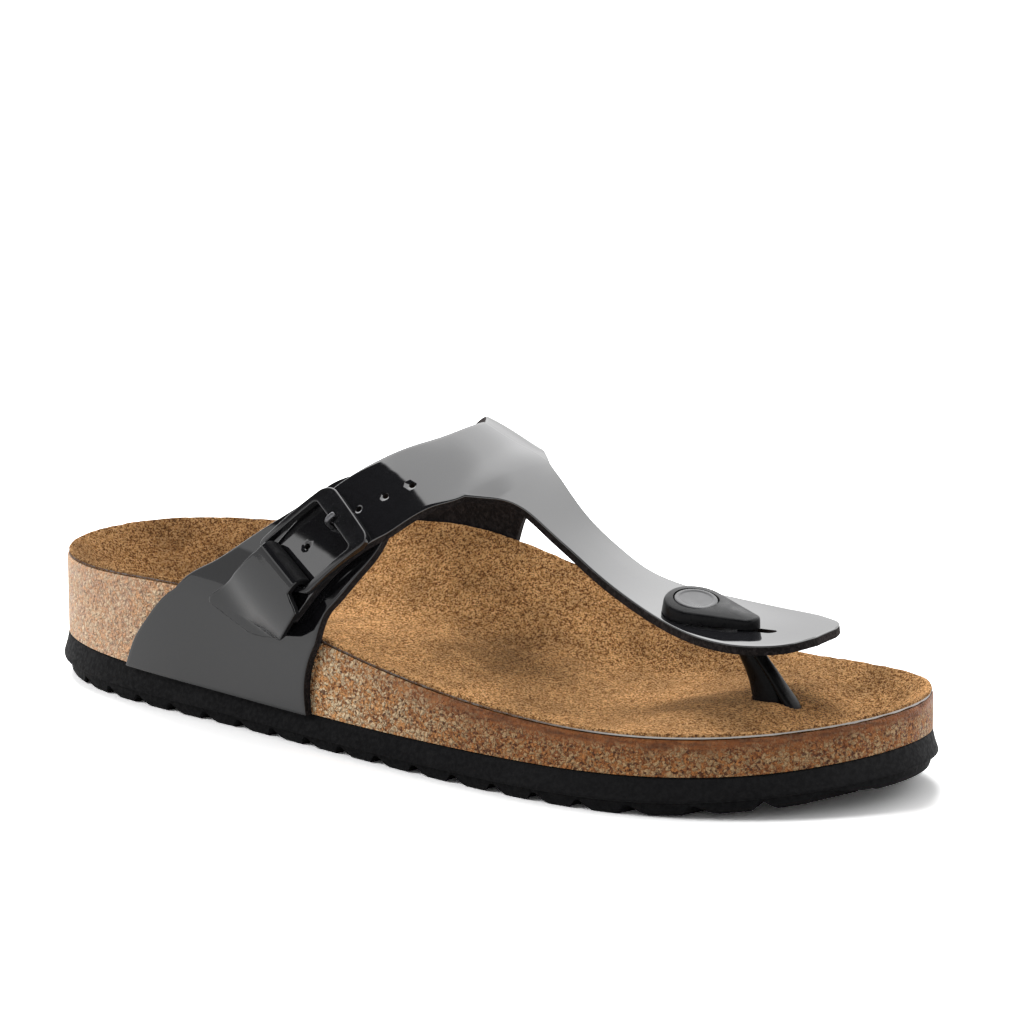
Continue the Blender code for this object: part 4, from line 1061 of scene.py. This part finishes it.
class SandalSizes(bpy.types.PropertyGroup):
    """Sizes of the finished pieces."""

    strap_thick: length_property("Strap", "Thickness of the straps with their felt backs", 2.4)
    strap_edge: length_property("Strap edge", "Radius of the coated edge of the straps", 0.35)
    tab_thick: length_property("Tab", "Thickness of the buckle's tab", 1.5)
    insole_thick: length_property("Insole", "Thickness of the suede layer", 1.2)
    nap: length_property("Nap", "Height of the suede's loose fibres over its face", 0.13)
    granule: length_property("Granule", "Width of the cork granules", 1.35)
    buckle_thick: length_property("Buckle", "Thickness of the buckle's frame", 2.4)
    buckle_edge: length_property("Buckle edge", "Radius of the edges of the buckle's frame", 0.5)
    pin_radius: length_property("Pin", "Radius of the buckle's pin", 0.75)
    button_radius: length_property("Button", "Radius of the button on the post's cap", 5.6)


class SandalColours(bpy.types.PropertyGroup):
    """Colours of the finished pieces."""

    patent: colour_property("Patent", "Patent leather", (0.004, 0.004, 0.0045))
    patent_haze: colour_property("Patent haze", "Faint haze in the patent film", (0.007, 0.007, 0.008))
    felt: colour_property("Felt", "Felt backs in shade", (0.004, 0.0036, 0.0036))
    felt_light: colour_property("Felt fibres", "Felt fibres that catch light", (0.022, 0.019, 0.019))
    cork_light: colour_property("Cork light", "Palest granules", (1.0, 0.78, 0.50))
    cork_tan: colour_property("Cork tan", "Usual granules", (1.0, 0.50, 0.20))
    cork_brown: colour_property("Cork brown", "Brown granules", (0.55, 0.23, 0.085))
    # Painted light: a paler, rosy colour painted on the heel's cork
    cork_heel_painted_light: colour_property("Cork heel", "Rosy cast of the heel's cork", (1.0, 0.68, 0.49))
    cork_dark: colour_property("Cork dark", "Dark granules and bark", (0.19, 0.078, 0.036))
    # Painted shade that darkens the forefoot's cork
    cork_painted_shade: colour_property("Cork shade", "Darker cast of the forefoot's cork", (0.52, 0.42, 0.33))
    suede: colour_property("Suede", "Suede's usual shade", (0.48, 0.24, 0.088))
    suede_light: colour_property("Suede light", "Brushed tips", (0.74, 0.43, 0.195))
    suede_dark: colour_property("Suede dark", "Gaps in the nap", (0.12, 0.050, 0.017))
    backing: colour_property("Backing", "Fabric under the suede", (0.20, 0.18, 0.165))
    backing_pale: colour_property("Bare backing", "Bare fabric at the toe", (0.52, 0.49, 0.46))
    rubber: colour_property("Rubber", "Foam rubber and moulded rubber", (0.004, 0.004, 0.0045))
    rubber_dust: colour_property("Rubber haze", "Pale haze on the rubber", (0.007, 0.007, 0.0075))
    button: colour_property("Button", "Button's face", (0.035, 0.035, 0.037))
    metal: colour_property("Buckle", "Painted metal of the buckle", (0.005, 0.005, 0.0055))
    metal_haze: colour_property("Buckle haze", "Pale haze on the painted metal", (0.008, 0.008, 0.009))
    steel: colour_property("Pin", "Steel of the pin", (0.16, 0.16, 0.165))
    steel_dark: colour_property("Pin shade", "Darker grain of the steel", (0.10, 0.10, 0.105))
    floor: colour_property("Floor", "Pale floor", (0.90, 0.90, 0.90))


class SANDAL_OT_outsole(bpy.types.Operator):
    """Build the foam outsole with its lip, toe spring and grooves"""

    bl_idname = "sandal.outsole"
    bl_label = "Outsole"

    def execute(self, context):
        floor = floor_height(LOOP[:, 0])
        side = []
        for part, out in SOLE_SIDE_ROWS:
            side.append(np.column_stack([outset_loop(out), floor + (LOOP[:, 3] - floor) * part]))
        bottom = []
        for part in SOLE_FLOOR_PARTS:
            flat = toward_spine(side[0][:, :2], part)
            bottom.append(np.column_stack([flat, floor_height(flat[:, 0])]))
        top = joint_rings(side[-1][:, :2], LOOP[:, 3])
        cage = loft(bmesh.new(), bottom[::-1] + side + top)
        sole = new_piece("outsole_foam", cage, [foam_material()])
        shape_with(sole, [self.groove(k) for k in range(GROOVE_COUNT)], "DIFFERENCE")
        hand_over(sole, "outsole", "outsole")
        return {"FINISHED"}

    def groove(self, number):
        """The cutter of one wavy groove."""
        along = GROOVE_FIRST + GROOVE_PITCH * number
        level = float(floor_height(np.array(along)))
        rings = []
        for across in np.linspace(-GROOVE_REACH, GROOVE_REACH, GROOVE_STEPS + 1):
            bend = GROOVE_WAVE * math.cos(across * 2.0 * math.pi / GROOVE_WAVE_LENGTH)
            rings.append(np.array([(along + bend + dx, across, level + dz) for dx, dz in GROOVE_SECTION]))
        first, last = flat_end(rings[0], (0.0,)), flat_end(rings[-1], (0.0,))
        return new_piece("groove_%d" % number, loft(bmesh.new(), first + rings + last), [])


class SANDAL_OT_footbed(bpy.types.Operator):
    """Build the cork footbed with its dished top"""

    bl_idname = "sandal.footbed"
    bl_label = "Cork Footbed"

    def execute(self, context):
        foot = LOOP[:, 3] + GAP
        shoulder = LOOP[:, 2] - RIM_EDGE
        climbs = np.linspace(0.0, 1.0, WALL_STEPS)
        wall = [np.column_stack([outset_loop(0.0), foot + (shoulder - foot) * part]) for part in climbs]
        bed = [bed_ring(part) for part in np.linspace(0.0, 1.0, BED_STEPS) ** BED_SPREAD]
        base = joint_rings(wall[0][:, :2], foot)
        cage = bmesh.new()
        climb = cage.verts.layers.float.new("wall")
        loft(cage, base[::-1] + wall + bed)
        heights = {place_key(point): part for part, ring in zip(climbs, wall) for point in placed(ring)}
        for vert in cage.verts:
            vert[climb] = heights.get(place_key(vert.co), 1.0)
        cork = new_piece("footbed_cork", cage, [cork_material()])
        low = float(bed_height([POST_ALONG])[0]) + POST_ROWS[0][0] - GAP
        shape_with(cork, [post_pocket("post_pocket", low, POCKET_CLEAR)], "DIFFERENCE")
        hand_over(cork, "footbed", "footbed")
        return {"FINISHED"}


def post_pocket(name, low, clear):
    """The hole for the foot of the post."""
    foot = POST_ROWS[0]
    back = foot[1] - foot[2] / 2.0
    front = foot[3] + foot[4] / 2.0
    outline = oval(front - back + 2.0 * clear, foot[6] + 2.0 * clear, OVAL_POINTS)
    return prism(name, outline + np.array([(back + front) / 2.0, foot[5]]), low, POCKET_HIGH)


class SANDAL_OT_insole(bpy.types.Operator):
    """Build the suede layer over the footbed's top"""

    bl_idname = "sandal.insole"
    bl_label = "Suede Insole"

    def execute(self, context):
        thick, nap = size("insole_thick"), size("nap")
        parts = np.linspace(0.0, 1.0, BED_STEPS) ** INSOLE_SPREAD
        under = [bed_ring(part) + np.array([0.0, 0.0, GAP]) for part in parts[::INSOLE_UNDER_STEP]]
        edge = [bed_ring(0.0, INSOLE_INSET + inset) + np.array([0.0, 0.0, GAP + thick * part])
                for inset, part in INSOLE_EDGE_ROWS]
        over = [bed_ring(part, INSOLE_INSET + INSOLE_ROUND) + np.array([0.0, 0.0, GAP + thick])
                for part in parts]
        for ring in over:
            far = (ring[:, :2] - np.array(SWELL_PLACE)) / np.array(SWELL_REACH)
            ring[:, 2] += SWELL * np.exp(-(far**2).sum(axis=1))
        cage = loft(bmesh.new(), under[::-1] + edge + over)
        cut = {place_key(point) for ring in (under[0], edge[0]) for point in placed(ring)}
        for face in cage.faces:
            face.material_index = int(all(place_key(vert.co) in cut for vert in face.verts))
        draw = random.Random(NAP_SEED)
        cage.normal_update()
        for vert in cage.verts:
            if vert.normal.z > NAP_FACING:
                vert.co += vert.normal * draw.uniform(-1.0, 1.0) * nap * MM
        suede = new_piece("insole_suede", cage, [suede_material(), backing_material()])
        shape_with(suede, [post_pocket("post_hole", 0.0, HOLE_CLEAR)], "DIFFERENCE")
        hand_over(suede, "insole", "insole")
        return {"FINISHED"}


class SANDAL_OT_instep_strap(bpy.types.Operator):
    """Build the T-strap: outer arm, inner leg under its ridge, and toe arm, in one wall"""

    bl_idname = "sandal.instep_strap"
    bl_label = "T-strap"

    def execute(self, context):
        cage = bmesh.new()
        layers = strap_layers(cage)
        column = cage.verts.layers.int.new("column")
        edges, start = self.lay_band(cage, layers, column)
        self.grow_toe_arm(cage, layers, column, edges, start)
        thicken_strap(cage, layers, size("strap_thick"), size("strap_edge"))
        strap = new_piece("t_strap", cage, [patent_material("strap"), felt_material()])
        cutters = [body for row in HOLE_ROWS for body in self.hole(*row)]
        slot = oval(SLOT_LENGTH, SLOT_WIDTH, OVAL_POINTS) + np.array([SLOT_CENTRE, CAP_ACROSS])
        cutters.append(prism("neck_slot", slot, SLOT_LOW, SLOT_HIGH, 1))
        shape_with(strap, cutters, "DIFFERENCE")
        hand_over(strap, "instep_strap", "instep_strap")
        return {"FINISHED"}

    def lay_band(self, cage, layers, column):
        """Lay the arm and the leg as one band; gives the edges where the toe arm starts and their places."""
        arm = rows_between(ARM_ROWS, ARM_STEPS)
        rows = np.vstack([arm, rows_between(LEG_ROWS, LEG_STEPS)])
        steps = len(rows) - 1
        verts = bmesh.ops.create_grid(cage, x_segments=steps, y_segments=BAND_ACROSS, size=1.0)["verts"]
        part_row, part = grid_parts(verts)
        row = np.rint(part_row * steps).astype(int)
        mark_places(verts, layers, band_places(rows[row], part, rows[row, 4]))
        first, last = ARM_ROOT_ROW * ARM_STEPS, len(arm) - 1
        root = {}
        for vert, r, p in zip(verts, row, part):
            vert[column] = -1
            if first <= r <= last and p > 1.0 - 0.5 / BAND_ACROSS:
                vert[column] = r - first
                root[r - first] = [vert[layer] for layer in layers]
        edges = [edge for edge in cage.edges if min(vert[column] for vert in edge.verts) >= 0]
        return edges, np.array([root[k] for k in range(len(root))])

    def grow_toe_arm(self, cage, layers, column, edges, start):
        """Grow the toe arm row by row from the band's front edge, whose bow and lift fade out on the way."""
        flat_start = last_point(start[:, 0], start[:, 1])[:, :2]
        share = np.linspace(0.0, 1.0, len(start))[:, None]
        bow = flat_start - flat_start[:1] * (1.0 - share) - flat_start[-1:] * share
        reach = np.linspace(0.0, len(TOE_ARM_ROWS) - 1.0, (len(TOE_ARM_ROWS) - 1) * TOE_STEPS + 1)
        for t, line in zip(reach, rows_at(TOE_ARM_ROWS, reach)):
            stay = max(0.0, 1.0 - (t + ROOT_BLEND_START) / ROOT_BLEND_ROWS) ** 2
            flat = line[None, 0:2] * (1.0 - share) + line[None, 2:4] * share + bow * stay
            places = np.column_stack([flat[:, 0], girth_at(flat[:, 0], flat[:, 1]), start[:, 2] * stay])
            verts, edges = grow_row(cage, edges)
            mark_places(verts, layers, places[[vert[column] for vert in verts]])

    def hole(self, place, along, girth):
        """Round cutters through the arm of the strap, and for the pressed rim of the hole."""
        thick = size("strap_thick")
        at = np.array([along]), np.array([girth])
        normal = Vector(last_normal(*at)[0].tolist())
        turn = Vector((0.0, 0.0, 1.0)).rotation_difference(normal).to_matrix().to_4x4()
        arm = rows_between(ARM_ROWS, ARM_STEPS)
        back_along, back_girth, front_along, front_girth, lifts = arm.T
        far = np.abs((back_along - along) * (front_girth - back_girth)
                     - (back_girth - girth) * (front_along - back_along))
        lift = lifts[np.argmin(far)]
        bodies = []
        for kind, low, high, deep, rise, skin in (
                ("hole", HOLE_WIDTH, HOLE_WIDTH, HOLE_DEPTH * thick, thick / 2.0, 1),
                ("rim", HOLE_WIDTH, 2.0 * PRESS_WIDTH - HOLE_WIDTH, 2.0 * PRESS_DEPTH, thick, 0)):
            cage = bmesh.new()
            bmesh.ops.create_cone(cage, cap_ends=True, segments=HOLE_SIDES, radius1=low / 2.0 * MM,
                                  radius2=high / 2.0 * MM, depth=deep * MM)
            centre = Vector(placed(over_last(*at, lift + rise))[0].tolist())
            bmesh.ops.transform(cage, matrix=Matrix.Translation(centre) @ turn, verts=cage.verts)
            for face in cage.faces:
                face.material_index = skin
            bodies.append(new_piece(kind + "_" + place.replace(" ", "_"), cage, []))
        return bodies


class SANDAL_OT_side_strap(bpy.types.Operator):
    """Build the quarter that rises from the footbed's outer wall to the buckle"""

    bl_idname = "sandal.side_strap"
    bl_label = "Quarter"

    def execute(self, context):
        cage = bmesh.new()
        layers = strap_layers(cage)
        steps = (len(SIDE_ROWS) - 1) * SIDE_STEPS
        verts = bmesh.ops.create_grid(cage, x_segments=steps, y_segments=SIDE_ACROSS, size=1.0)["verts"]
        part_row, part = grid_parts(verts)
        here = rows_at(SIDE_ROWS, part_row * (len(SIDE_ROWS) - 1))
        mark_places(verts, layers, band_places(here, part, np.zeros_like(part)))
        thicken_strap(cage, layers, size("strap_thick"), size("strap_edge"))
        strap = new_piece("quarter", cage, [patent_material("quarter"), felt_material()])
        hand_over(strap, "side_strap", "side_strap")
        return {"FINISHED"}


class SANDAL_OT_buckle_strap(bpy.types.Operator):
    """Build the tab that is fixed to the quarter and hooks over the buckle's back bar"""

    bl_idname = "sandal.buckle_strap"
    bl_label = "Buckle Tab"

    def execute(self, context):
        cage = bmesh.new()
        layers = strap_layers(cage)
        reached = cage.verts.layers.float.new("reached")
        verts = bmesh.ops.create_grid(cage, x_segments=TAB_STEPS, y_segments=TAB_ACROSS, size=1.0)["verts"]
        part_row, part = grid_parts(verts)
        rows = np.array(TAB_ROWS)
        knots = np.concatenate([[0.0], np.cumsum(np.linalg.norm(np.diff(rows, axis=0), axis=1))])
        distance, lift = smooth_through(knots, rows, part_row * knots[-1]).T
        short = np.clip((TAB_ROUND - distance) / TAB_ROUND, 0.0, TAB_TAIL)
        inset = TAB_ROUND * (1.0 - np.sqrt(1.0 - short**2)) / BUCKLE_WIDTH
        fold = np.clip((distance - FOLD_START) / (FOLD_END - FOLD_START), 0.0, 1.0)
        back = inset + fold * ((BUCKLE_WIDTH - FOLD_WIDTH) / 2.0 + FOLD_SHIFT) / BUCKLE_WIDTH
        front = inset + fold * ((BUCKLE_WIDTH - FOLD_WIDTH) / 2.0 - FOLD_SHIFT) / BUCKLE_WIDTH
        place = patch_place(TAB_CORNERS, distance / TAB_LENGTH, back + (1.0 - back - front) * part)
        mark_places(verts, layers, np.column_stack([place, lift]))
        for vert, reach in zip(verts, distance.tolist()):
            vert[reached] = reach
        thicken_strap(cage, layers, size("tab_thick"), size("strap_edge"), folded=True)
        for face in cage.faces:
            if min(vert[reached] for vert in face.verts) > FOLD_BACK:
                face.material_index = 1
        tab = new_piece("buckle_tab", cage, [patent_material("tab"), satin_material("tab_lining")])
        hand_over(tab, "buckle_strap", "buckle_strap")
        return {"FINISHED"}


def round_box_loop(back, front, side, radius):
    """Points round a box with round corners, with points along its sides so that it can bend."""
    corners = ((front, side, 0.0), (back, side, 0.5), (back, -side, 1.0), (front, -side, 1.5))
    arcs = []
    for s, w, start in corners:
        centre = np.array([s - math.copysign(radius, s), w - math.copysign(radius, w)])
        turn = np.linspace(start, start + 0.5, CORNER_STEPS + 1) * math.pi
        arcs.append(centre + radius * np.stack([np.cos(turn), np.sin(turn)], axis=1))
    loop = []
    for arc, following in zip(arcs, arcs[1:] + arcs[:1]):
        part = np.linspace(0.0, 1.0, BAR_STEPS + 1)[1:-1, None]
        loop += [arc, arc[-1] * (1.0 - part) + following[0] * part]
    return np.vstack(loop)


def over_buckle(loop, lift):
    """Points over the buckle's patch from distances along and across its middle."""
    place = patch_place(BUCKLE_CORNERS, loop[:, 0] / BUCKLE_LENGTH + 0.5, loop[:, 1] / BUCKLE_WIDTH + 0.5)
    return over_last(place[:, 0], place[:, 1], lift)


class SANDAL_OT_buckle(bpy.types.Operator):
    """Build the buckle's bent frame and its short pin"""

    bl_idname = "sandal.buckle"
    bl_label = "Buckle"

    def execute(self, context):
        frame_piece = new_piece("buckle_metal", loft(bmesh.new(), self.frame_rings(), around=True),
                                [satin_material("painted_metal")])
        hand_over(frame_piece, "buckle_frame", "buckle_frame")
        pin = new_piece("pin_steel", loft(bmesh.new(), self.pin_rings()), [satin_material("pin_steel")])
        hand_over(pin, "buckle_pin", "buckle_pin")
        return {"FINISHED"}

    def frame_rings(self):
        """Rings round the section of the frame, each a loop round the buckle."""
        half, side = BUCKLE_LENGTH / 2.0, BUCKLE_WIDTH / 2.0
        low, high = BUCKLE_LIFT, BUCKLE_LIFT + size("buckle_thick")
        edge = size("buckle_edge")
        turns = np.linspace(0.0, math.pi / 2.0, EDGE_STEPS + 2)
        curl = [(edge * (1.0 - math.sin(t)), edge * (1.0 - math.cos(t))) for t in turns]
        rows = [("outer", inset, low + rise) for inset, rise in curl]
        rows += [("outer", inset, high - rise) for inset, rise in curl[::-1]]
        rows += [("window", inset, high - rise) for inset, rise in curl]
        rows += [("window", inset, low + rise) for inset, rise in curl[::-1]]
        rings = []
        for which, inset, lift in rows:
            if which == "outer":
                loop = round_box_loop(-half + inset, half - inset, side - inset, BUCKLE_ROUND - inset)
            else:
                loop = round_box_loop(-half + BAR_BACK - inset, half - BAR_FRONT + inset,
                                      side - BAR_SIDE + inset, WINDOW_ROUND + inset)
            rings.append(over_buckle(loop, lift))
        return rings

    def pin_rings(self):
        """Rings along the pin, from its tail on the broad bar into the hole."""
        radius = size("pin_radius")
        edge = BUCKLE_LENGTH / 2.0 - BAR_FRONT
        top = BUCKLE_LIFT + size("buckle_thick") + GAP + radius
        corner = np.array(BUCKLE_CORNERS)
        across = (corner[2] + corner[3] - corner[0] - corner[1]) / 2.0 / BUCKLE_WIDTH
        run = (corner[1] + corner[3] - corner[0] - corner[2]) / 2.0 / BUCKLE_LENGTH
        hole = np.array(HOLE_ROWS[HOLE_PIN][1:]) - corner.mean(axis=0)
        s, w = np.linalg.solve(np.column_stack([run, across]), hole)
        route = np.array([(edge + on_bar if past is None else s + past, w, top - depth)
                          for _, on_bar, past, depth in PIN_ROWS])
        points = over_buckle(route[:, :2], route[:, 2])
        at = np.linspace(0.0, len(points) - 1.0, (len(points) - 1) * PIN_STEPS + 1)
        line = smooth_through(range(len(points)), points, at)
        ahead = np.gradient(line, axis=0)
        ahead /= np.linalg.norm(ahead, axis=1)[:, None]
        side = np.cross(ahead[0], ahead[-1])
        side /= np.linalg.norm(side)
        turn = np.linspace(0.0, 2.0 * math.pi, PIN_SIDES, endpoint=False)[:, None]
        rings = []
        for point, way in zip(line, ahead):
            up = np.cross(side, way)
            rings.append(point + radius * (np.cos(turn) * side + np.sin(turn) * up / np.linalg.norm(up)))
        tail = rings[0] - ahead[0] * radius * PIN_END_REACH
        tip = rings[-1] + ahead[-1] * radius * PIN_END_REACH
        return flat_end(tail, (0.0, PIN_END_WIDTH)) + rings + flat_end(tip, (PIN_END_WIDTH, 0.0))


def leg_rings(column):
    """Rings up the leg of the toe post whose place along is in the given column, smooth between its rows."""
    rows = np.array(POST_ROWS)
    at = np.linspace(rows[0, 0], rows[-1, 0], (len(rows) - 1) * POST_STEPS + 1)
    fine = smooth_through(rows[:, 0], rows, at)
    base = float(bed_height([POST_ALONG])[0])
    turn = np.linspace(0.0, 2.0 * math.pi, POST_AROUND, endpoint=False)
    rings = []
    for row in fine:
        along = row[column] + np.cos(turn) * row[column + 1] / 2.0
        across = row[5] + np.sin(turn) * row[6] / 2.0
        rings.append(np.column_stack([along, across, np.full(POST_AROUND, base + row[0])]))
    return flat_end(rings[0])[::-1] + rings + flat_end(rings[-1])


def teardrop(inset):
    """Outline of the post's cap, round at its rear and narrow at its front."""
    lean = math.asin((CAP_REAR_RADIUS - CAP_FRONT_RADIUS) / (CAP_FRONT - CAP_REAR))
    start = math.pi / 2.0 - lean
    half = CAP_AROUND // 2
    loop = []
    rear_turns = np.linspace(start, 2.0 * math.pi - start, half)
    front_turns = np.linspace(-start, start, half)
    for middle, radius, turns in ((CAP_REAR, CAP_REAR_RADIUS, rear_turns),
                                  (CAP_FRONT, CAP_FRONT_RADIUS, front_turns)):
        loop.append(np.stack([middle + (radius - inset) * np.cos(turns),
                              CAP_ACROSS + (radius - inset) * np.sin(turns)], axis=1))
    return np.vstack(loop)


def over_cap(loop, part):
    """Points at a part of the cap's thickness over the strap."""
    rows = np.array(CAP_THICK_ROWS)
    rise = np.interp(loop[:, 0], rows[:, 0], rows[:, 1]) + CAP_ROLL * (loop[:, 1] - CAP_ACROSS)
    lift = size("strap_thick") + GAP + rise * part
    return over_last(loop[:, 0], girth_at(loop[:, 0], loop[:, 1]), lift)


def button_body(name, radius, sunk, rows, materials):
    """A disc let into the cap's top, turned from rows of radius and height."""
    reach = radius * np.array(((-1.0, 0.0), (1.0, 0.0), (0.0, -1.0), (0.0, 1.0)))
    back, front, outer, inner = over_cap(np.array([CAP_REAR, CAP_ACROSS]) + reach, 1.0)
    normal = np.cross(front - back, inner - outer)
    normal /= np.linalg.norm(normal)
    foot = (back + front + outer + inner) / 4.0 - normal * sunk
    forward = (front - back) / np.linalg.norm(front - back)
    side = np.cross(normal, forward)
    turn = np.linspace(0.0, 2.0 * math.pi, BUTTON_SIDES, endpoint=False)[:, None]
    rings = [foot + radius * part * (np.cos(turn) * forward + np.sin(turn) * side) + normal * height
             for part, height in rows]
    return new_piece(name, loft(bmesh.new(), flat_end(rings[0])[::-1] + rings), materials)


class SANDAL_OT_toe_post(bpy.types.Operator):
    """Build the toe post with its folded cap, and the button in the cap"""

    bl_idname = "sandal.toe_post"
    bl_label = "Toe Post"

    def execute(self, context):
        post = new_piece("post_rubber", loft(bmesh.new(), leg_rings(1)), [satin_material("moulded_rubber")])
        front_leg = new_piece("front_leg", loft(bmesh.new(), leg_rings(3)), [])
        neck = prism("neck", oval(NECK_LENGTH, NECK_WIDTH, OVAL_POINTS) + np.array([NECK_ALONG, CAP_ACROSS]),
                     NECK_LOW, NECK_HIGH)
        rings = [over_cap(teardrop(inset), part) for inset, part in CAP_ROWS]
        cap = new_piece("cap", loft(bmesh.new(), flat_end(rings[0])[::-1] + rings + flat_end(rings[-1])), [])
        shape_with(post, [front_leg, neck, cap], "UNION")
        radius = size("button_radius")
        seat = button_body("button_seat", radius + GAP, BUTTON_SUNK + GAP,
                           ((1.0, 0.0), (1.0, SEAT_HEIGHT), (0.0, SEAT_HEIGHT)), [])
        shape_with(post, [seat], "DIFFERENCE")
        hand_over(post, "toe_post", "toe_post")
        button = button_body("button_disc", radius, BUTTON_SUNK, BUTTON_ROWS,
                             [satin_material("button_rubber")])
        hand_over(button, "post_button", "post_button")
        return {"FINISHED"}


class SANDAL_OT_stage(bpy.types.Operator):
    """Build the pale floor, the studio lights and the camera"""

    bl_idname = "sandal.stage"
    bl_label = "Stage"

    def execute(self, context):
        self.make_floor()
        for row in SUN_ROWS:
            self.make_sun(context.scene, *row)
        self.make_world(context.scene)
        self.make_camera(context.scene)
        context.scene.view_settings.view_transform = "Standard"
        return {"FINISHED"}

    def make_floor(self):
        """A wide pale floor, that the camera sees bright enough to leave only the shadow by the sole."""
        material, tree, shader = new_material("floor", Roughness=0.9, Specular_IOR_Level=0.0)
        path = add_node(tree, "ShaderNodeLightPath").outputs
        tint = blend(tree, path["Is Diffuse Ray"], colour("floor"), grey(FLOOR_BOUNCE))
        paint(tree, shader, Base_Color=tint)
        bright = add_node(tree, "ShaderNodeBsdfDiffuse", {"Color": grey(FLOOR_GAIN)})
        mixed = add_node(tree, "ShaderNodeMixShader", {0: path["Is Camera Ray"], 1: shader.outputs[0],
                                                       2: bright.outputs[0]})
        tree.links.new(mixed.outputs[0], tree.nodes["Material Output"].inputs["Surface"])
        cage = bmesh.new()
        bmesh.ops.create_grid(cage, x_segments=1, y_segments=1, size=FLOOR_SIZE / 2.0)
        floor = new_piece("floor", cage, [material])

    def make_sun(self, scene, name, source, spread, strength):
        """A broad soft light, that gloss doesn't mirror."""
        lamp = bpy.data.lights.new(name, "SUN")
        lamp.energy = strength
        lamp.angle = math.radians(spread)
        thing = bpy.data.objects.new(name, lamp)
        thing.rotation_euler = Vector(source).to_track_quat("Z", "Y").to_euler()
        thing.visible_glossy = False
        scene.collection.objects.link(thing)

    def make_world(self, scene):
        """Soft fill on matt surfaces; gloss mirrors a pale wall behind and a banded dark side in front."""
        world = bpy.data.worlds.new("studio")
        world.use_nodes = True
        tree = world.node_tree
        background = tree.nodes["Background"]
        way = add_node(tree, "ShaderNodeTexCoord").outputs["Generated"]
        parts = add_node(tree, "ShaderNodeSeparateXYZ", {0: way}).outputs
        front = MIRROR_FRONT_ROWS[0][1]
        for height, light in MIRROR_FRONT_ROWS[1:]:
            above = between(tree, parts["Z"], height - MIRROR_EDGE, height + MIRROR_EDGE)
            front = blend(tree, above, grey(front), grey(light))
        back = between(tree, parts["Z"], 0.0, MIRROR_BACK_RISE, MIRROR_BACK_LOW, MIRROR_BACK_HIGH)
        ceiling = between(tree, parts["Z"], MIRROR_CEILING_START, MIRROR_CEILING_END, 1.0, MIRROR_CEILING)
        back = math_node(tree, "MULTIPLY", back, ceiling)
        behind = between(tree, parts["Y"], MIRROR_BACK - MIRROR_EDGE, MIRROR_BACK + MIRROR_EDGE)
        mirrored = blend(tree, behind, front, back)
        path = add_node(tree, "ShaderNodeLightPath").outputs
        fill = between(tree, parts["Y"], -FILL_REACH, FILL_REACH, FILL_FRONT, FILL_BACK)
        even = blend(tree, path["Is Diffuse Ray"], mirrored, fill)
        seen = blend(tree, path["Is Camera Ray"], even, grey(BACKDROP_LIGHT))
        tree.links.new(seen, background.inputs["Color"])
        scene.world = world

    def make_camera(self, scene):
        """The camera at the photograph's viewing angle."""
        camera = bpy.data.cameras.new("camera")
        camera.lens = CAMERA_LENS
        camera.sensor_width = CAMERA_SENSOR
        thing = bpy.data.objects.new("camera", camera)
        turn = Matrix((CAMERA_RIGHT, CAMERA_UP, CAMERA_BACK)).transposed().to_4x4()
        thing.matrix_world = Matrix.Translation(placed([CAMERA_PLACE])[0].tolist()) @ turn
        scene.collection.objects.link(thing)
        scene.camera = thing


class SANDAL_PT_panel(bpy.types.Panel):
    """Sizes, colours and pieces of the sandal"""

    bl_idname = "SANDAL_PT_panel"
    bl_label = "Toe Post Sandal"
    bl_space_type = "VIEW_3D"
    bl_region_type = "UI"
    bl_category = "Sandal"

    def draw(self, context):
        for group in (context.scene.sandal_sizes, context.scene.sandal_colours):
            box = self.layout.box()
            for name in group.__annotations__:
                box.prop(group, name)
        for operator in PIECES:
            self.layout.operator(operator.bl_idname)


PIECES = (SANDAL_OT_stage, SANDAL_OT_outsole, SANDAL_OT_footbed, SANDAL_OT_insole, SANDAL_OT_instep_strap,
          SANDAL_OT_side_strap, SANDAL_OT_buckle_strap, SANDAL_OT_buckle, SANDAL_OT_toe_post)
CLASSES = (SandalSizes, SandalColours, *PIECES, SANDAL_PT_panel)


def register():
    """Register the classes and hang the sizes and colours on the scene."""
    for cls in CLASSES:
        bpy.utils.register_class(cls)
    bpy.types.Scene.sandal_sizes = PointerProperty(type=SandalSizes)
    bpy.types.Scene.sandal_colours = PointerProperty(type=SandalColours)


def unregister():
    """Take the classes and the scene's sizes and colours away."""
    del bpy.types.Scene.sandal_sizes
    del bpy.types.Scene.sandal_colours
    for cls in reversed(CLASSES):
        bpy.utils.unregister_class(cls)


def main():
    """Register the add-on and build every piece."""
    register()
    for operator in PIECES:
        group, name = operator.bl_idname.split(".")
        getattr(getattr(bpy.ops, group), name)()


if __name__ == "__main__":
    main()
